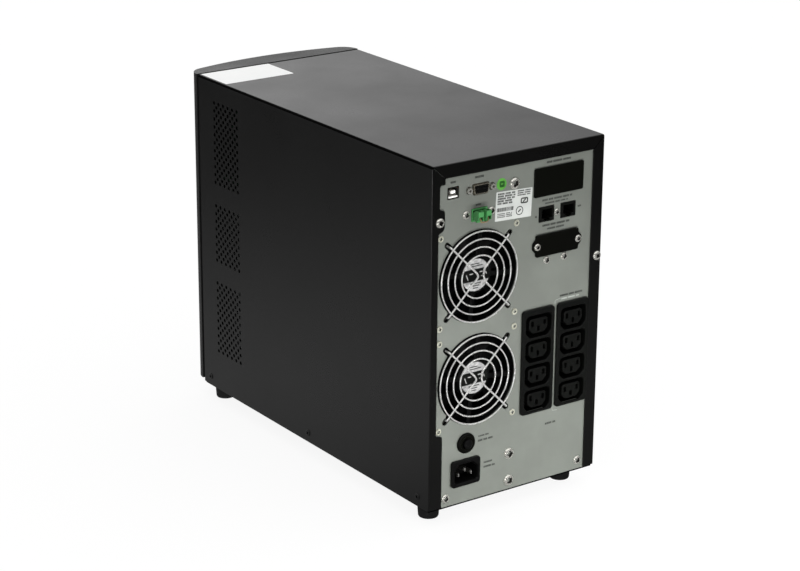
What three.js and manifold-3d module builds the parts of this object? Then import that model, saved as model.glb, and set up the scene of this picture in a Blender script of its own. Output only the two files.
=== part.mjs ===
// Tower uninterruptible power supply, 2 to 3 kVA class.
// Millimetres, +Z up. The front bezel faces -Y and the connector panel faces +Y.
// The origin is at the centre of the footprint, on the surface that the feet stand on.

import * as THREE from 'three';
import { mergeVertices } from 'three/addons/utils/BufferGeometryUtils.js';
import Module from 'manifold-3d';

const wasm = await Module();
wasm.setup();

// ---------------------------------------------------------------- driving dimensions

const SHEET = 1.2; // sheet steel of the case
const GAP = 0.3; // clearance between neighbouring pieces
const CASE = { width: 190, depth: 387, height: 319, bend: 2 };
const BEZEL = { reach: 30, bow: 350, corner: 18, wall: 2.5, seam: 2.8, neck: 1.5, split: 29.5, bottom: 2 };
const PLUG_REACH = 7; // the emergency-stop plug stands this far out past the rear flange
const FOOT = { height: 16.4, topRadius: 10.5, bottomRadius: 9.4, x: 76, rear: -26, front: -377.5 };

const HALF = CASE.width / 2;
const REAR_Y = (BEZEL.reach + CASE.depth + PLUG_REACH) / 2 - PLUG_REACH;
const CASE_Z = FOOT.height + SHEET + 2 * GAP;

// Everything below is in the case's own frame: y = 0 is the outside of the cover's rear flange,
// z = 0 is the cover's lower edge, and x = 0 is the middle.
const PANEL_BACK = -2 * SHEET - GAP;
const PANEL_FACE = -SHEET - GAP;
const ON_PANEL = PANEL_FACE + GAP; // underside of a piece that sits on the outside of the panel
const BEHIND_PANEL = PANEL_BACK - GAP; // face of a piece that sits against the inside of the panel
const PANEL_LOW = -0.8;

const FLANGE = {
  right: -83, top: 306.5, left: 81, besideFans: 87.7, upperStep: 86.5,
  fanLow: 70, fanHigh: 262, tabHigh: 278, stepHigh: 301,
};
const COVER_SCREWS = [
  { name: 'cover_screw_left', x: 86.5, z: 268 },
  { name: 'cover_screw_right', x: -90, z: 206 },
];
const SIDE_SCREW = { z: 8.5, y: { front: -374, middle: -195, rear: -17 } };
const PAN_SCREW = { head: 4.3, dome: 2.4, shank: 1.9, length: 7 };
const FLAT_SCREW = { head: 3.2, dome: 0.8, shank: 1.9, length: 7 };
const SCREW_HOLE = 2.3;

const FAN = {
  x: 43.1, upper: 211.5, lower: 115.1, size: 92, depth: 25.4, pitch: 82.5,
  bore: 43.6, screwHole: 2.2, hub: 17.5, blades: 7,
};
const FAN_WINDOW = { radius: 42.7, slotReach: 51, slotWidth: 5.6 };
const STATOR = { plate: 4, tube: 5, tubeReach: 16, shaftHole: 1.9, strut: [3.4, 4.5] };
const ROTOR = { back: -23, front: -5, wall: 2.2, shaft: 1.5, tipGap: 1, blade: [1.6, 24], twist: 0.75 };
const GUARD = {
  rings: [41.5, 34.3, 27, 19.5], wire: 1.5, inner: 4.5, bend: 46, y: 0.9,
  eyelet: 58.3, eyeletOuter: 4.2, eyeletInner: 2.5,
};

const OUTLET_STRIP = {
  z: [68, 168], x: { left: [-42.9, -6.5], right: [-82.7, -46.3] },
  proud: 1.2, depth: 22, lip: 2.2, corner: 3.2, rows: [152.1, 128.3, 104.5, 80.7],
};
const OUTLET = {
  outer: [29.5, 21.5], island: [20.8, 13.8], chamfer: 5.5, depth: 16, sunk: 0.8,
  slot: [2.4, 4.8], pitch: 14, live: 2.2, earth: -2.6, slotDepth: 12,
};
const INLET = {
  x: 54.4, z: 28.7, flange: [31.4, 25.2], proud: 1.8, body: [27.6, 20.2], depth: 26,
  recess: [24.4, 16.8], recessDepth: 16, pin: [2, 4], pinReach: 13.5, tab: 8, pitch: 14,
  live: -2, earth: 2,
};
const BREAKER = { x: 53.8, z: 56.2, nut: 9.6, proud: 1.6, body: 7.6, depth: 28, button: 4.6, reach: 2.2 };
const USB = { x: 71.5, z: 292, size: [12.2, 10.8], mouth: [8.5, 7.8], tongue: [5.6, 3.2], depth: 16 };
const SERIAL = {
  x: 42, z: 291, flange: [31, 12.4], shell: [17.2, 8.6], nutPitch: 25, nut: 2.9, depth: 10,
  shellFace: 0.1, nutFace: 0.6,
};
const EPO = { x: 43, z: 268, size: [17, 11.6], ears: 36, depth: 10, plug: [16, 10] };
const RJ45 = { z: 255.2, width: 16.4, height: 13.6, mouth: [11.8, 8.4], depth: 15 };
const RJ45_X = { surge_jack_in: -31.5, surge_jack_out: -56 };
const SLOT_COVER = { x: -44.3, z: 285.3, size: [55.5, 26.5], bay: [49, 22], proud: 1.2, corner: 2 };
const PORT_COVER = { x: -43.7, z: 226.6, size: [48, 20.2], ear: 27.5, port: [38, 15], proud: 2 };

const DISPLAY = {
  z: 232, pocket: [96, 132], floor: 4.6, pad: 2.6, window: [74, 40], windowRise: 34,
  buttonPitch: 26, buttonDrop: -22, button: [17, 9], travel: 1.2,
};
const GRILLE = { rows: 7, pitch: 12, first: 62, size: [120, 5] };

const BATTERY = { size: [151, 65, 94], pitchY: 65.6, firstY: -375, layers: [1, 103], terminal: [5, 6, 4] };
const SHELF = { half: 78.5, top: 206, front: -378, rear: -108 };
const BOARD = { x: [-84, 84], y: [-366, -62], z: 219, thick: 1.6 };
const DECK = BOARD.z + BOARD.thick + GAP; // what stands on the power board stands at this height
const HEAT_SINK = {
  x: [-60, 26], y: [-330, -190], tall: 62, spine: 5, reach: 34, fins: 6, first: 4, pitch: 11, fin: 2.2,
};
const CONTROL = { x: -72, y: [-170, -70], top: 296, chip: 9, chipRise: 2.4, chipY: [-140, -100], chipZ: 265 };
const CHOKE = { x: 46, y: -110, inner: 11, outer: 27, tall: 24, round: 3 };
const TRANSFORMER = {
  core: { x: [-34, 14], y: [-140, -98], z: [5, 45] }, coil: { x: [-28, 8], y: [-148, -90], z: [0, 50] },
};
const CAPACITOR = { x: -8, y: -215, radius: 17.5, length: 52 };
const CHASSIS = { front: 2, rear: -6, upstand: 20, rearUpstand: 12, corner: 8, headroom: 6 };
const DOORWAY = { batteries: [2, 3], cables: { half: 60, low: 20, high: 30 } }; // in the chassis's front wall

// ---------------------------------------------------------------- solids

function solid(geometry) {
  const bare = geometry.index ? geometry.toNonIndexed() : geometry.clone();
  bare.deleteAttribute('normal');
  bare.deleteAttribute('uv');
  const welded = mergeVertices(bare, 1e-4);
  const corners = welded.index.array;
  const triVerts = [];
  for (let i = 0; i < corners.length; i += 3) {
    const [a, b, c] = [corners[i], corners[i + 1], corners[i + 2]];
    if (a !== b && b !== c && c !== a) triVerts.push(a, b, c);
  }
  return new wasm.Manifold(new wasm.Mesh({
    numProp: 3,
    vertProperties: new Float32Array(welded.attributes.position.array),
    triVerts: new Uint32Array(triVerts),
  }));
}

function geometryOf(body) {
  const { vertProperties, triVerts } = body.getMesh();
  const geometry = new THREE.BufferGeometry();
  geometry.setAttribute('position', new THREE.BufferAttribute(vertProperties, 3));
  geometry.setIndex(new THREE.BufferAttribute(triVerts, 1));
  geometry.computeVertexNormals();
  return geometry;
}

const join = (...bodies) => bodies.flat(Infinity).reduce((whole, next) => whole.add(next));
const cut = (body, ...tools) => tools.flat(Infinity).reduce((whole, next) => whole.subtract(next), body);

// A box between two limits on each axis.
function block(x, y, z) {
  const geometry = new THREE.BoxGeometry(x[1] - x[0], y[1] - y[0], z[1] - z[0]);
  geometry.translate((x[0] + x[1]) / 2, (y[0] + y[1]) / 2, (z[0] + z[1]) / 2);
  return solid(geometry);
}

// An outline drawn in x and z, as a plate between two limits in y.
function plate(outline, y, curveSegments = 3) {
  const options = { depth: y[1] - y[0], bevelEnabled: false, curveSegments };
  const geometry = new THREE.ExtrudeGeometry(outline, options);
  geometry.rotateX(Math.PI / 2).translate(0, y[1], 0);
  return solid(geometry);
}

// An outline drawn in x and y, as a column between two limits in z.
function column(outline, z, curveSegments = 5) {
  const options = { depth: z[1] - z[0], bevelEnabled: false, curveSegments };
  const geometry = new THREE.ExtrudeGeometry(outline, options);
  geometry.translate(0, 0, z[0]);
  return solid(geometry);
}

// A profile of [radius, y] pairs turned about a line through (x, z) along Y.
function turned(profile, x = 0, z = 0, sides = 24) {
  const points = profile.map(([radius, y]) => new THREE.Vector2(radius, y));
  return solid(new THREE.LatheGeometry(points, sides).translate(x, 0, z));
}

// A round bar along Y.
function bar(radius, y, x = 0, z = 0, sides = 24) {
  return turned([[0, y[0]], [radius, y[0]], [radius, y[1]], [0, y[1]]], x, z, sides);
}

// ---------------------------------------------------------------- outlines

function polygon(points) {
  return new THREE.Shape(points.map(([a, b]) => new THREE.Vector2(a, b)));
}

function rectangle(x, z, [width, height]) {
  const [w, h] = [width / 2, height / 2];
  return polygon([[x - w, z - h], [x + w, z - h], [x + w, z + h], [x - w, z + h]]);
}

function roundedRectangle(x, z, [width, height], radius) {
  const [w, h] = [width / 2 - radius, height / 2 - radius];
  const shape = new THREE.Shape();
  const quarter = Math.PI / 2;
  shape.absarc(x + w, z + h, radius, 0, quarter);
  shape.absarc(x - w, z + h, radius, quarter, 2 * quarter);
  shape.absarc(x - w, z - h, radius, 2 * quarter, 3 * quarter);
  shape.absarc(x + w, z - h, radius, 3 * quarter, 4 * quarter);
  return shape;
}

// A rectangle with all four corners cut off.
function clippedRectangle(x, z, [width, height], clip) {
  const [w, h] = [width / 2, height / 2];
  return polygon([
    [x - w + clip, z - h], [x + w - clip, z - h], [x + w, z - h + clip], [x + w, z + h - clip],
    [x + w - clip, z + h], [x - w + clip, z + h], [x - w, z + h - clip], [x - w, z - h + clip],
  ]);
}

// The outline of an appliance coupler: a rectangle whose two corners on the earth side are cut off.
function couplerOutline(x, z, [width, height], chamfer, earthSide) {
  const [w, h] = [width / 2, (height / 2) * earthSide];
  const c = chamfer * earthSide;
  return polygon([
    [x - w, z - h], [x + w, z - h], [x + w, z + h - c],
    [x + w - chamfer, z + h], [x - w + chamfer, z + h], [x - w, z + h - c],
  ]);
}

// The trapezium of a nine-way D connector, wide side up.
function dOutline(x, z, [width, height]) {
  const [w, h, slope] = [width / 2, height / 2, 1.4];
  return polygon([[x - w + slope, z - h], [x + w - slope, z - h], [x + w, z + h], [x - w, z + h]]);
}

// The plan of the bezel: straight sides, rounded corners and a shallow bow, inset by the given wall.
function bowOutline(back, inset) {
  const shape = new THREE.Shape();
  const bow = BEZEL.bow - inset;
  const corner = BEZEL.corner - inset;
  const side = HALF - inset;
  const bowY = -CASE.depth - BEZEL.reach + BEZEL.bow;
  const cornerX = HALF - BEZEL.corner;
  const cornerY = bowY - Math.sqrt((BEZEL.bow - BEZEL.corner) ** 2 - cornerX ** 2);
  const sweep = Math.asin(cornerX / (BEZEL.bow - BEZEL.corner));
  const forward = -Math.PI / 2;
  shape.moveTo(-side, back);
  shape.lineTo(side, back);
  shape.absarc(cornerX, cornerY, corner, 0, forward + sweep, true);
  shape.absarc(0, bowY, bow, forward + sweep, forward - sweep, true);
  shape.absarc(-cornerX, cornerY, corner, forward - sweep, -Math.PI, true);
  return shape;
}

// ---------------------------------------------------------------- materials

const finish = (color, roughness, metalness = 0) =>
  new THREE.MeshStandardMaterial({ color, roughness, metalness });

const LOOK = {
  blackSteel: finish(0x1e1e1e, 0.5, 0.3),
  panelSteel: finish(0x8b918b, 0.45, 0.6),
  innerSteel: finish(0xb4b8b8, 0.4, 0.8),
  blackPlastic: finish(0x151515, 0.45),
  bezelPlastic: finish(0x232323, 0.5),
  rubber: finish(0x0b0b0b, 0.85),
  chrome: finish(0xd8d8d8, 0.15, 1),
  screwSteel: finish(0xc9c9c4, 0.3, 1),
  blackScrew: finish(0x101010, 0.4, 0.6),
  nickel: finish(0xcfcdc6, 0.3, 1),
  greenPlastic: finish(0x2f8f4c, 0.45),
  windowPlastic: finish(0x101418, 0.1),
  boardGreen: finish(0x14522c, 0.6),
  batteryPlastic: finish(0x2c2f33, 0.6),
  aluminium: finish(0xb9bcc0, 0.35, 0.9),
  copper: finish(0xa86232, 0.4, 0.8),
  capSleeve: finish(0x1d2233, 0.4),
};

function piece(name, body, look) {
  const mesh = new THREE.Mesh(geometryOf(body), look);
  mesh.name = name;
  return mesh;
}

// ---------------------------------------------------------------- case

function flangeOutline() {
  const f = FLANGE;
  const round = 2;
  const shape = new THREE.Shape();
  shape.moveTo(-HALF, 0);
  shape.lineTo(f.right, 0);
  shape.lineTo(f.right, f.top);
  shape.lineTo(f.left, f.top);
  shape.lineTo(f.left, f.stepHigh);
  shape.lineTo(f.upperStep, f.stepHigh);
  shape.lineTo(f.upperStep, f.tabHigh);
  shape.lineTo(f.left + round, f.tabHigh);
  shape.lineTo(f.left, f.tabHigh - round);
  shape.lineTo(f.left, f.fanHigh + round);
  shape.lineTo(f.left + round, f.fanHigh);
  shape.lineTo(f.besideFans, f.fanHigh);
  shape.lineTo(f.besideFans, f.fanLow);
  shape.lineTo(f.left + round, f.fanLow);
  shape.lineTo(f.left, f.fanLow - round);
  shape.lineTo(f.left, 0);
  shape.lineTo(HALF, 0);
  shape.lineTo(HALF, CASE.height - CASE.bend);
  shape.lineTo(HALF - CASE.bend, CASE.height);
  shape.lineTo(-HALF + CASE.bend, CASE.height);
  shape.lineTo(-HALF, CASE.height - CASE.bend);
  return shape;
}

function shellOutline() {
  const [side, top, bend] = [HALF, CASE.height, CASE.bend];
  const [inner, ceiling, innerBend] = [HALF - SHEET, CASE.height - SHEET, CASE.bend - SHEET];
  return polygon([
    [side, 0], [side, top - bend], [side - bend, top], [-side + bend, top], [-side, top - bend], [-side, 0],
    [-inner, 0], [-inner, ceiling - innerBend], [-inner + innerBend, ceiling],
    [inner - innerBend, ceiling], [inner, ceiling - innerBend], [inner, 0],
  ]);
}

// A hole across a side wall, along X.
function sideHole(sign, y) {
  const drill = new THREE.CylinderGeometry(SCREW_HOLE, SCREW_HOLE, 12, 12);
  drill.rotateZ(Math.PI / 2).translate(sign * HALF, y, SIDE_SCREW.z);
  return solid(drill);
}

const sideHoles = () => [-1, 1].flatMap((sign) => Object.values(SIDE_SCREW.y).map((y) => sideHole(sign, y)));

function cover() {
  const shell = plate(shellOutline(), [-CASE.depth, -SHEET / 2]);
  const flange = plate(flangeOutline(), [-SHEET, 0]);
  const screwHoles = COVER_SCREWS.map(({ x, z }) => bar(SCREW_HOLE, [-5, 5], x, z, 12));
  return piece('cover', cut(join(shell, flange), screwHoles, sideHoles()), LOOK.blackSteel);
}

function baseChassis() {
  const { rear, upstand, rearUpstand, corner, headroom } = CHASSIS;
  const { batteries: [sill, lintel], cables } = DOORWAY;
  const side = HALF - SHEET - GAP;
  const front = -CASE.depth + CHASSIS.front;
  const through = [front - SHEET, front + 2 * SHEET];
  const floor = block([-HALF + 1, HALF - 1], [front, BEHIND_PANEL], [-SHEET - GAP, -GAP]);
  const leftWall = block([side - SHEET, side], [front, rear], [-SHEET, upstand]);
  const rightWall = block([-side, -side + SHEET], [front, rear], [-SHEET, upstand]);
  const rearY = [BEHIND_PANEL - SHEET, BEHIND_PANEL];
  const rearWall = block([-side + corner, side - corner], rearY, [-SHEET, rearUpstand]);
  const frontWall = block([-side, side], [front, front + SHEET], [-SHEET, CASE.height - headroom]);
  const doorHalf = SHELF.half - sill;
  const batteryDoorway = block([-doorHalf, doorHalf], through, [sill, SHELF.top - lintel]);
  const cableHeights = [SHELF.top + cables.low, CASE.height - cables.high];
  const cableDoorway = block([-cables.half, cables.half], through, cableHeights);
  const body = join(floor, leftWall, rightWall, rearWall, frontWall);
  return piece('base_chassis', cut(body, batteryDoorway, cableDoorway, sideHoles()), LOOK.blackSteel);
}

function fanWindow(z) {
  const round = bar(FAN_WINDOW.radius, [PANEL_BACK - 5, 3], FAN.x, z, 40);
  const slot = (turn) => {
    const geometry = new THREE.BoxGeometry(2 * FAN_WINDOW.slotReach, 11, FAN_WINDOW.slotWidth);
    return solid(geometry.rotateY(turn).translate(FAN.x, -2, z));
  };
  return join(round, slot(Math.PI / 4), slot(-Math.PI / 4));
}

function rearPanel() {
  const side = HALF - SHEET - GAP;
  const top = CASE.height - SHEET - GAP;
  const outline = clippedRectangle(0, (PANEL_LOW + top) / 2, [2 * side, top - PANEL_LOW], 1);
  const sheet = plate(outline, [PANEL_BACK, PANEL_FACE]);
  const through = [-8, 3];
  const grown = ([width, height], by) => [width + 2 * by, height + 2 * by];
  const [stripLow, stripHigh] = OUTLET_STRIP.z;
  const stripHole = (x) => block([x[0] + 1.5, x[1] - 1.5], through, [stripLow + 2, stripHigh - 2]);
  const jackHole = (x) => plate(rectangle(x, RJ45.z, grown([RJ45.width, RJ45.height], GAP)), through);
  const openings = [
    fanWindow(FAN.upper),
    fanWindow(FAN.lower),
    plate(rectangle(USB.x, USB.z, grown(USB.size, GAP)), through),
    plate(dOutline(SERIAL.x, SERIAL.z, grown(SERIAL.shell, 0.6)), through),
    bar(SERIAL.nut + 0.5, through, SERIAL.x - SERIAL.nutPitch / 2, SERIAL.z, 12),
    bar(SERIAL.nut + 0.5, through, SERIAL.x + SERIAL.nutPitch / 2, SERIAL.z, 12),
    plate(rectangle(EPO.x, EPO.z, grown(EPO.size, GAP)), through),
    Object.values(RJ45_X).map(jackHole),
    plate(rectangle(SLOT_COVER.x, SLOT_COVER.z, SLOT_COVER.bay), through),
    plate(rectangle(PORT_COVER.x, PORT_COVER.z, PORT_COVER.port), through),
    stripHole(OUTLET_STRIP.x.left),
    stripHole(OUTLET_STRIP.x.right),
    plate(rectangle(INLET.x, INLET.z, grown(INLET.body, GAP)), through),
    bar(BREAKER.body + GAP, through, BREAKER.x, BREAKER.z),
    COVER_SCREWS.map(({ x, z }) => bar(SCREW_HOLE, through, x, z, 12)),
  ];
  return piece('rear_panel', cut(sheet, openings), LOOK.panelSteel);
}

function foot(name, x, y) {
  const top = -SHEET - 2 * GAP;
  const { height, topRadius, bottomRadius } = FOOT;
  const profile = [
    [0, -height], [bottomRadius - 1.2, -height], [bottomRadius, 1.2 - height],
    [topRadius, -2.5], [topRadius, 0], [0, 0],
  ];
  const points = profile.map(([radius, z]) => new THREE.Vector2(radius, z));
  const geometry = new THREE.LatheGeometry(points, 28).rotateX(Math.PI / 2).translate(x, y, top);
  return piece(name, solid(geometry), LOOK.rubber);
}

const feet = () => [
  foot('foot_front_left', -FOOT.x, FOOT.front),
  foot('foot_front_right', FOOT.x, FOOT.front),
  foot('foot_rear_left', -FOOT.x, FOOT.rear),
  foot('foot_rear_right', FOOT.x, FOOT.rear),
];

// A screw along -Y: the head's seat is at y = 0 and the shank goes in.
function screwGeometry({ head, dome, shank, length }) {
  const profile = [
    [0, -length], [shank, -length], [shank, 0], [head, 0], [head, dome * 0.4], [head * 0.6, dome], [0, dome],
  ];
  const points = profile.map(([radius, y]) => new THREE.Vector2(radius, y));
  return new THREE.LatheGeometry(points, 12);
}

function coverScrews() {
  return COVER_SCREWS.map(({ name, x, z }) =>
    piece(name, solid(screwGeometry(PAN_SCREW).translate(x, GAP, z)), LOOK.screwSteel));
}

function sideScrews() {
  return ['left', 'right'].flatMap((side) => Object.entries(SIDE_SCREW.y).map(([place, y]) => {
    const sign = side === 'right' ? 1 : -1;
    const geometry = screwGeometry(FLAT_SCREW).rotateZ(-sign * Math.PI / 2);
    geometry.translate(sign * (HALF + GAP / 3), y, SIDE_SCREW.z);
    return piece(`side_screw_${side}_${place}`, solid(geometry), LOOK.blackScrew);
  }));
}

// ---------------------------------------------------------------- fans

// Each fan is built about its own axis, with the outlet face of its frame at y = 0.
function fanFrame(name) {
  const { size, depth, bore, pitch, screwHole, hub } = FAN;
  const corners = [[-1, -1], [-1, 1], [1, -1], [1, 1]];
  const body = plate(roundedRectangle(0, 0, [size, size], 4), [-depth, 0]);
  const through = [-depth - 1, 1];
  const holes = corners.map(([i, k]) => bar(screwHole, through, (i * pitch) / 2, (k * pitch) / 2, 8));
  const [strutDepth, strutWidth] = STATOR.strut;
  const motorPlate = bar(hub, [-STATOR.plate, 0]);
  const bearingTube = bar(STATOR.tube, [-STATOR.tubeReach, -STATOR.plate / 2]);
  const strut = (turn) => {
    const geometry = new THREE.BoxGeometry(2 * bore + 1, strutDepth, strutWidth);
    return solid(geometry.translate(0, -strutDepth / 2, 0).rotateY(turn));
  };
  const shaftHole = bar(STATOR.shaftHole, [-STATOR.tubeReach - 1, -1]);
  const ring = cut(body, bar(bore, through, 0, 0, 36), holes);
  const whole = join(ring, strut(0), strut(Math.PI / 2), motorPlate, bearingTube);
  return piece(name, cut(whole, shaftHole), LOOK.blackPlastic);
}

function fanRotor(name) {
  const { bore, hub, blades } = FAN;
  const { back, front, wall, tipGap, twist } = ROTOR;
  const [bladeThick, bladeWide] = ROTOR.blade;
  const cup = cut(bar(hub, [back, front]), bar(hub - wall, [back + wall, front + 1]));
  const shaft = bar(ROTOR.shaft, [back + 1, -2]);
  const disc = bar(bore - tipGap, [back, front - 0.5], 0, 0, 36);
  const sweep = cut(disc, bar(hub - 1, [back - 1, front + 1]));
  const blade = (i) => {
    const geometry = new THREE.BoxGeometry(bore, bladeThick, bladeWide);
    geometry.rotateX(twist).translate(bore / 2, (back + front) / 2, 0);
    return solid(geometry.rotateY((2 * Math.PI * i) / blades));
  };
  const fins = Array.from({ length: blades }, (_, i) => blade(i).intersect(sweep));
  return piece(name, join(cup, shaft, fins), LOOK.blackPlastic);
}

// The guard's rings stand just proud of the panel. Two spokes cross outside the rings and two inside
// them, each outer one hooked round near the middle to an inner one. Each passes through its slot to
// an eyelet that the fan screw clamps behind the panel.
function fanGuard(name) {
  const { rings, wire, inner, bend, eyelet, eyeletOuter, eyeletInner, y } = GUARD;
  const half = wire / 2;
  const ring = (radius) => {
    const [inside, outside] = [radius - half, radius + half];
    const [low, high] = [y - half, y + half];
    return turned([[inside, low], [outside, low], [outside, high], [inside, high], [inside, low]], 0, 0, 30);
  };
  const layer = wire * 0.8;
  const clampY = BEHIND_PANEL - half;
  const tail = eyelet - (eyeletOuter + eyeletInner) / 2;
  const spoke = (turn, side) => {
    const run = y + side * layer;
    const bars = [
      new THREE.BoxGeometry(bend - inner, wire, wire).translate((inner + bend) / 2, run, 0),
      new THREE.BoxGeometry(wire, run - clampY + wire, wire).translate(bend, (run + clampY) / 2, 0),
      new THREE.BoxGeometry(tail - bend, wire, wire).translate((tail + bend) / 2, clampY, 0),
    ];
    return join(bars.map((geometry) => solid(geometry.rotateY(turn))));
  };
  const loop = (turn) => {
    const [x, z] = [eyelet * Math.cos(turn), -eyelet * Math.sin(turn)];
    return cut(
      bar(eyeletOuter, [clampY - half, clampY + half], x, z, 10),
      bar(eyeletInner, [clampY - wire, clampY + wire], x, z, 8),
    );
  };
  const apex = inner * Math.SQRT1_2;
  const hook = (side) => block(
    [side * apex - half, side * apex + half], [y - layer - half, y + layer + half],
    [-apex - half, apex + half],
  );
  const turns = [0, 1, 2, 3].map((k) => Math.PI / 4 + (k * Math.PI) / 2);
  const spokes = turns.map((turn, k) => spoke(turn, k % 2 ? 1 : -1));
  return piece(name, join(rings.map(ring), spokes, hook(1), hook(-1), turns.map(loop)), LOOK.chrome);
}

function fanAssembly(level, z) {
  const group = new THREE.Group();
  group.position.set(FAN.x, 0, z);
  const motor = new THREE.Group();
  motor.position.y = BEHIND_PANEL - GUARD.wire - GAP;
  motor.add(fanFrame(`fan_frame_${level}`), fanRotor(`fan_rotor_${level}`));
  group.add(motor, fanGuard(`fan_guard_${level}`));
  return group;
}

// ---------------------------------------------------------------- power connectors

function outletCut(x, z) {
  const face = OUTLET_STRIP.proud;
  const floor = face - OUTLET.depth;
  const outline = (size, chamfer) => couplerOutline(x, z, size, chamfer, -1);
  const well = plate(outline(OUTLET.outer, OUTLET.chamfer), [floor, face + 1]);
  const island = plate(outline(OUTLET.island, OUTLET.chamfer * 0.75), [floor - 1, face - OUTLET.sunk]);
  const slot = (dx, dz) => plate(
    rectangle(x + dx, z + dz, OUTLET.slot), [face - OUTLET.sunk - OUTLET.slotDepth, face + 1]);
  return [
    cut(well, island),
    slot(-OUTLET.pitch / 2, OUTLET.live),
    slot(OUTLET.pitch / 2, OUTLET.live),
    slot(0, OUTLET.earth),
  ];
}

function outletStrip(name, x) {
  const { z, proud, depth, lip, corner, rows } = OUTLET_STRIP;
  const centre = (x[0] + x[1]) / 2;
  const outline = clippedRectangle(centre, (z[0] + z[1]) / 2, [x[1] - x[0], z[1] - z[0]], corner);
  const face = plate(outline, [ON_PANEL, proud]);
  const body = block([x[0] + 1.8, x[1] - 1.8], [proud - depth, ON_PANEL + lip], [z[0] + 2.3, z[1] - 2.3]);
  const whole = cut(join(face, body), rows.map((row) => outletCut(centre, row)));
  return piece(name, whole, LOOK.blackPlastic);
}

function pinOutline(dx, dz, grow = 0) {
  const [width, height] = INLET.pin;
  return rectangle(INLET.x + dx, INLET.z + dz, [width + 2 * grow, height + 2 * grow]);
}

const INLET_PINS = [
  { name: 'inlet_pin_line', dx: INLET.pitch / 2, dz: INLET.live },
  { name: 'inlet_pin_neutral', dx: -INLET.pitch / 2, dz: INLET.live },
  { name: 'inlet_pin_earth', dx: 0, dz: INLET.earth },
];

function inletSocket() {
  const { x, z, flange, proud, body, depth, recess, recessDepth } = INLET;
  const back = proud - depth;
  const face = plate(clippedRectangle(x, z, flange, 2.2), [ON_PANEL, proud]);
  const box = plate(rectangle(x, z, body), [back, ON_PANEL + 1]);
  const well = plate(couplerOutline(x, z, recess, 4.5, 1), [proud - recessDepth, proud + 1]);
  const pinHoles = INLET_PINS.map(({ dx, dz }) => plate(pinOutline(dx, dz, GAP), [back - 1, proud]));
  return piece('inlet_socket', cut(join(face, box), well, pinHoles), LOOK.blackPlastic);
}

function inletPin({ name, dx, dz }) {
  const floor = INLET.proud - INLET.recessDepth;
  const back = INLET.proud - INLET.depth - INLET.tab;
  return piece(name, plate(pinOutline(dx, dz), [back, floor + INLET.pinReach]), LOOK.nickel);
}

function breaker() {
  const { x, z, nut, proud, body, depth, button, reach } = BREAKER;
  const bore = button + GAP;
  const profile = [
    [bore, proud - depth + 4], [body, proud - depth + 4], [body, ON_PANEL], [nut, ON_PANEL],
    [nut, proud - 1], [nut - 1.2, proud], [bore, proud], [bore, proud - depth + 4],
  ];
  const tail = block([x - 8, x + 8], [proud - depth, proud - depth + 6], [z - 6, z + 6]);
  const cap = [
    [0, proud - depth + 8], [button, proud - depth + 8], [button, proud + reach - 0.8],
    [button - 0.8, proud + reach], [0, proud + reach],
  ];
  return [
    piece('breaker_body', join(turned(profile, x, z, 28), tail), LOOK.blackPlastic),
    piece('breaker_button', turned(cap, x, z, 20), LOOK.blackPlastic),
  ];
}

// ---------------------------------------------------------------- signal connectors

function usbPort() {
  const { x, z, size, mouth, tongue, depth } = USB;
  const face = -0.6;
  const shell = plate(rectangle(x, z, size), [face - depth, face]);
  const well = plate(couplerOutline(x, z, mouth, 1.8, 1), [face - 9, face + 1]);
  const blade = plate(rectangle(x, z, tongue), [face - 10, face - 1]);
  return piece('usb_port', join(cut(shell, well), blade), LOOK.innerSteel);
}

function serialPort() {
  const { x, z, flange, shell, nutPitch, nut, depth, shellFace, nutFace } = SERIAL;
  const seat = [BEHIND_PANEL - 1, BEHIND_PANEL];
  const plateBody = plate(rectangle(x, z, flange), seat);
  const hood = plate(dOutline(x, z, shell), [BEHIND_PANEL - depth, shellFace]);
  const jackNut = (dx) => bar(nut, [seat[0], nutFace], x + dx, z, 6);
  const whole = join(plateBody, hood, jackNut(-nutPitch / 2), jackNut(nutPitch / 2));
  return piece('serial_port', whole, LOOK.innerSteel);
}

function epoTerminal() {
  const { x, z, size, ears, depth, plug } = EPO;
  const opening = plug.map((width) => width - 1.4);
  const stem = opening.map((width) => width - 2 * GAP);
  const mouth = plate(rectangle(x, z, opening), [BEHIND_PANEL - depth + 2, PLUG_REACH]);
  const bracket = plate(rectangle(x, z, [ears, size[1] - 2]), [BEHIND_PANEL - 1.6, BEHIND_PANEL]);
  const housing = plate(rectangle(x, z, size), [BEHIND_PANEL - depth, PANEL_FACE]);
  const tongue = plate(rectangle(x, z, stem), [BEHIND_PANEL - depth + 3, PANEL_FACE + 2]);
  const grip = plate(rectangle(x, z, plug), [PANEL_FACE + GAP, PLUG_REACH]);
  return [
    piece('epo_header', cut(join(housing, bracket), mouth), LOOK.greenPlastic),
    piece('epo_plug', join(tongue, grip), LOOK.greenPlastic),
  ];
}

function surgeJack(name, x) {
  const face = -0.4;
  const body = plate(rectangle(x, RJ45.z, [RJ45.width, RJ45.height]), [face - RJ45.depth, face]);
  const mouth = plate(rectangle(x, RJ45.z + 0.6, RJ45.mouth), [face - RJ45.depth + 2, face + 1]);
  const latch = plate(rectangle(x, RJ45.z - 4.4, [6, 3]), [face - RJ45.depth + 2, face + 1]);
  return piece(name, cut(body, mouth, latch), LOOK.blackPlastic);
}

function slotCover() {
  const { x, z, size, bay, proud, corner } = SLOT_COVER;
  const face = plate(roundedRectangle(x, z, size, corner), [ON_PANEL, ON_PANEL + proud]);
  const spigotSize = bay.map((width) => width - 2 * GAP);
  const spigot = plate(rectangle(x, z, spigotSize), [PANEL_BACK - 3, ON_PANEL + 0.5]);
  return piece('slot_cover', join(face, spigot), LOOK.blackPlastic);
}

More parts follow.
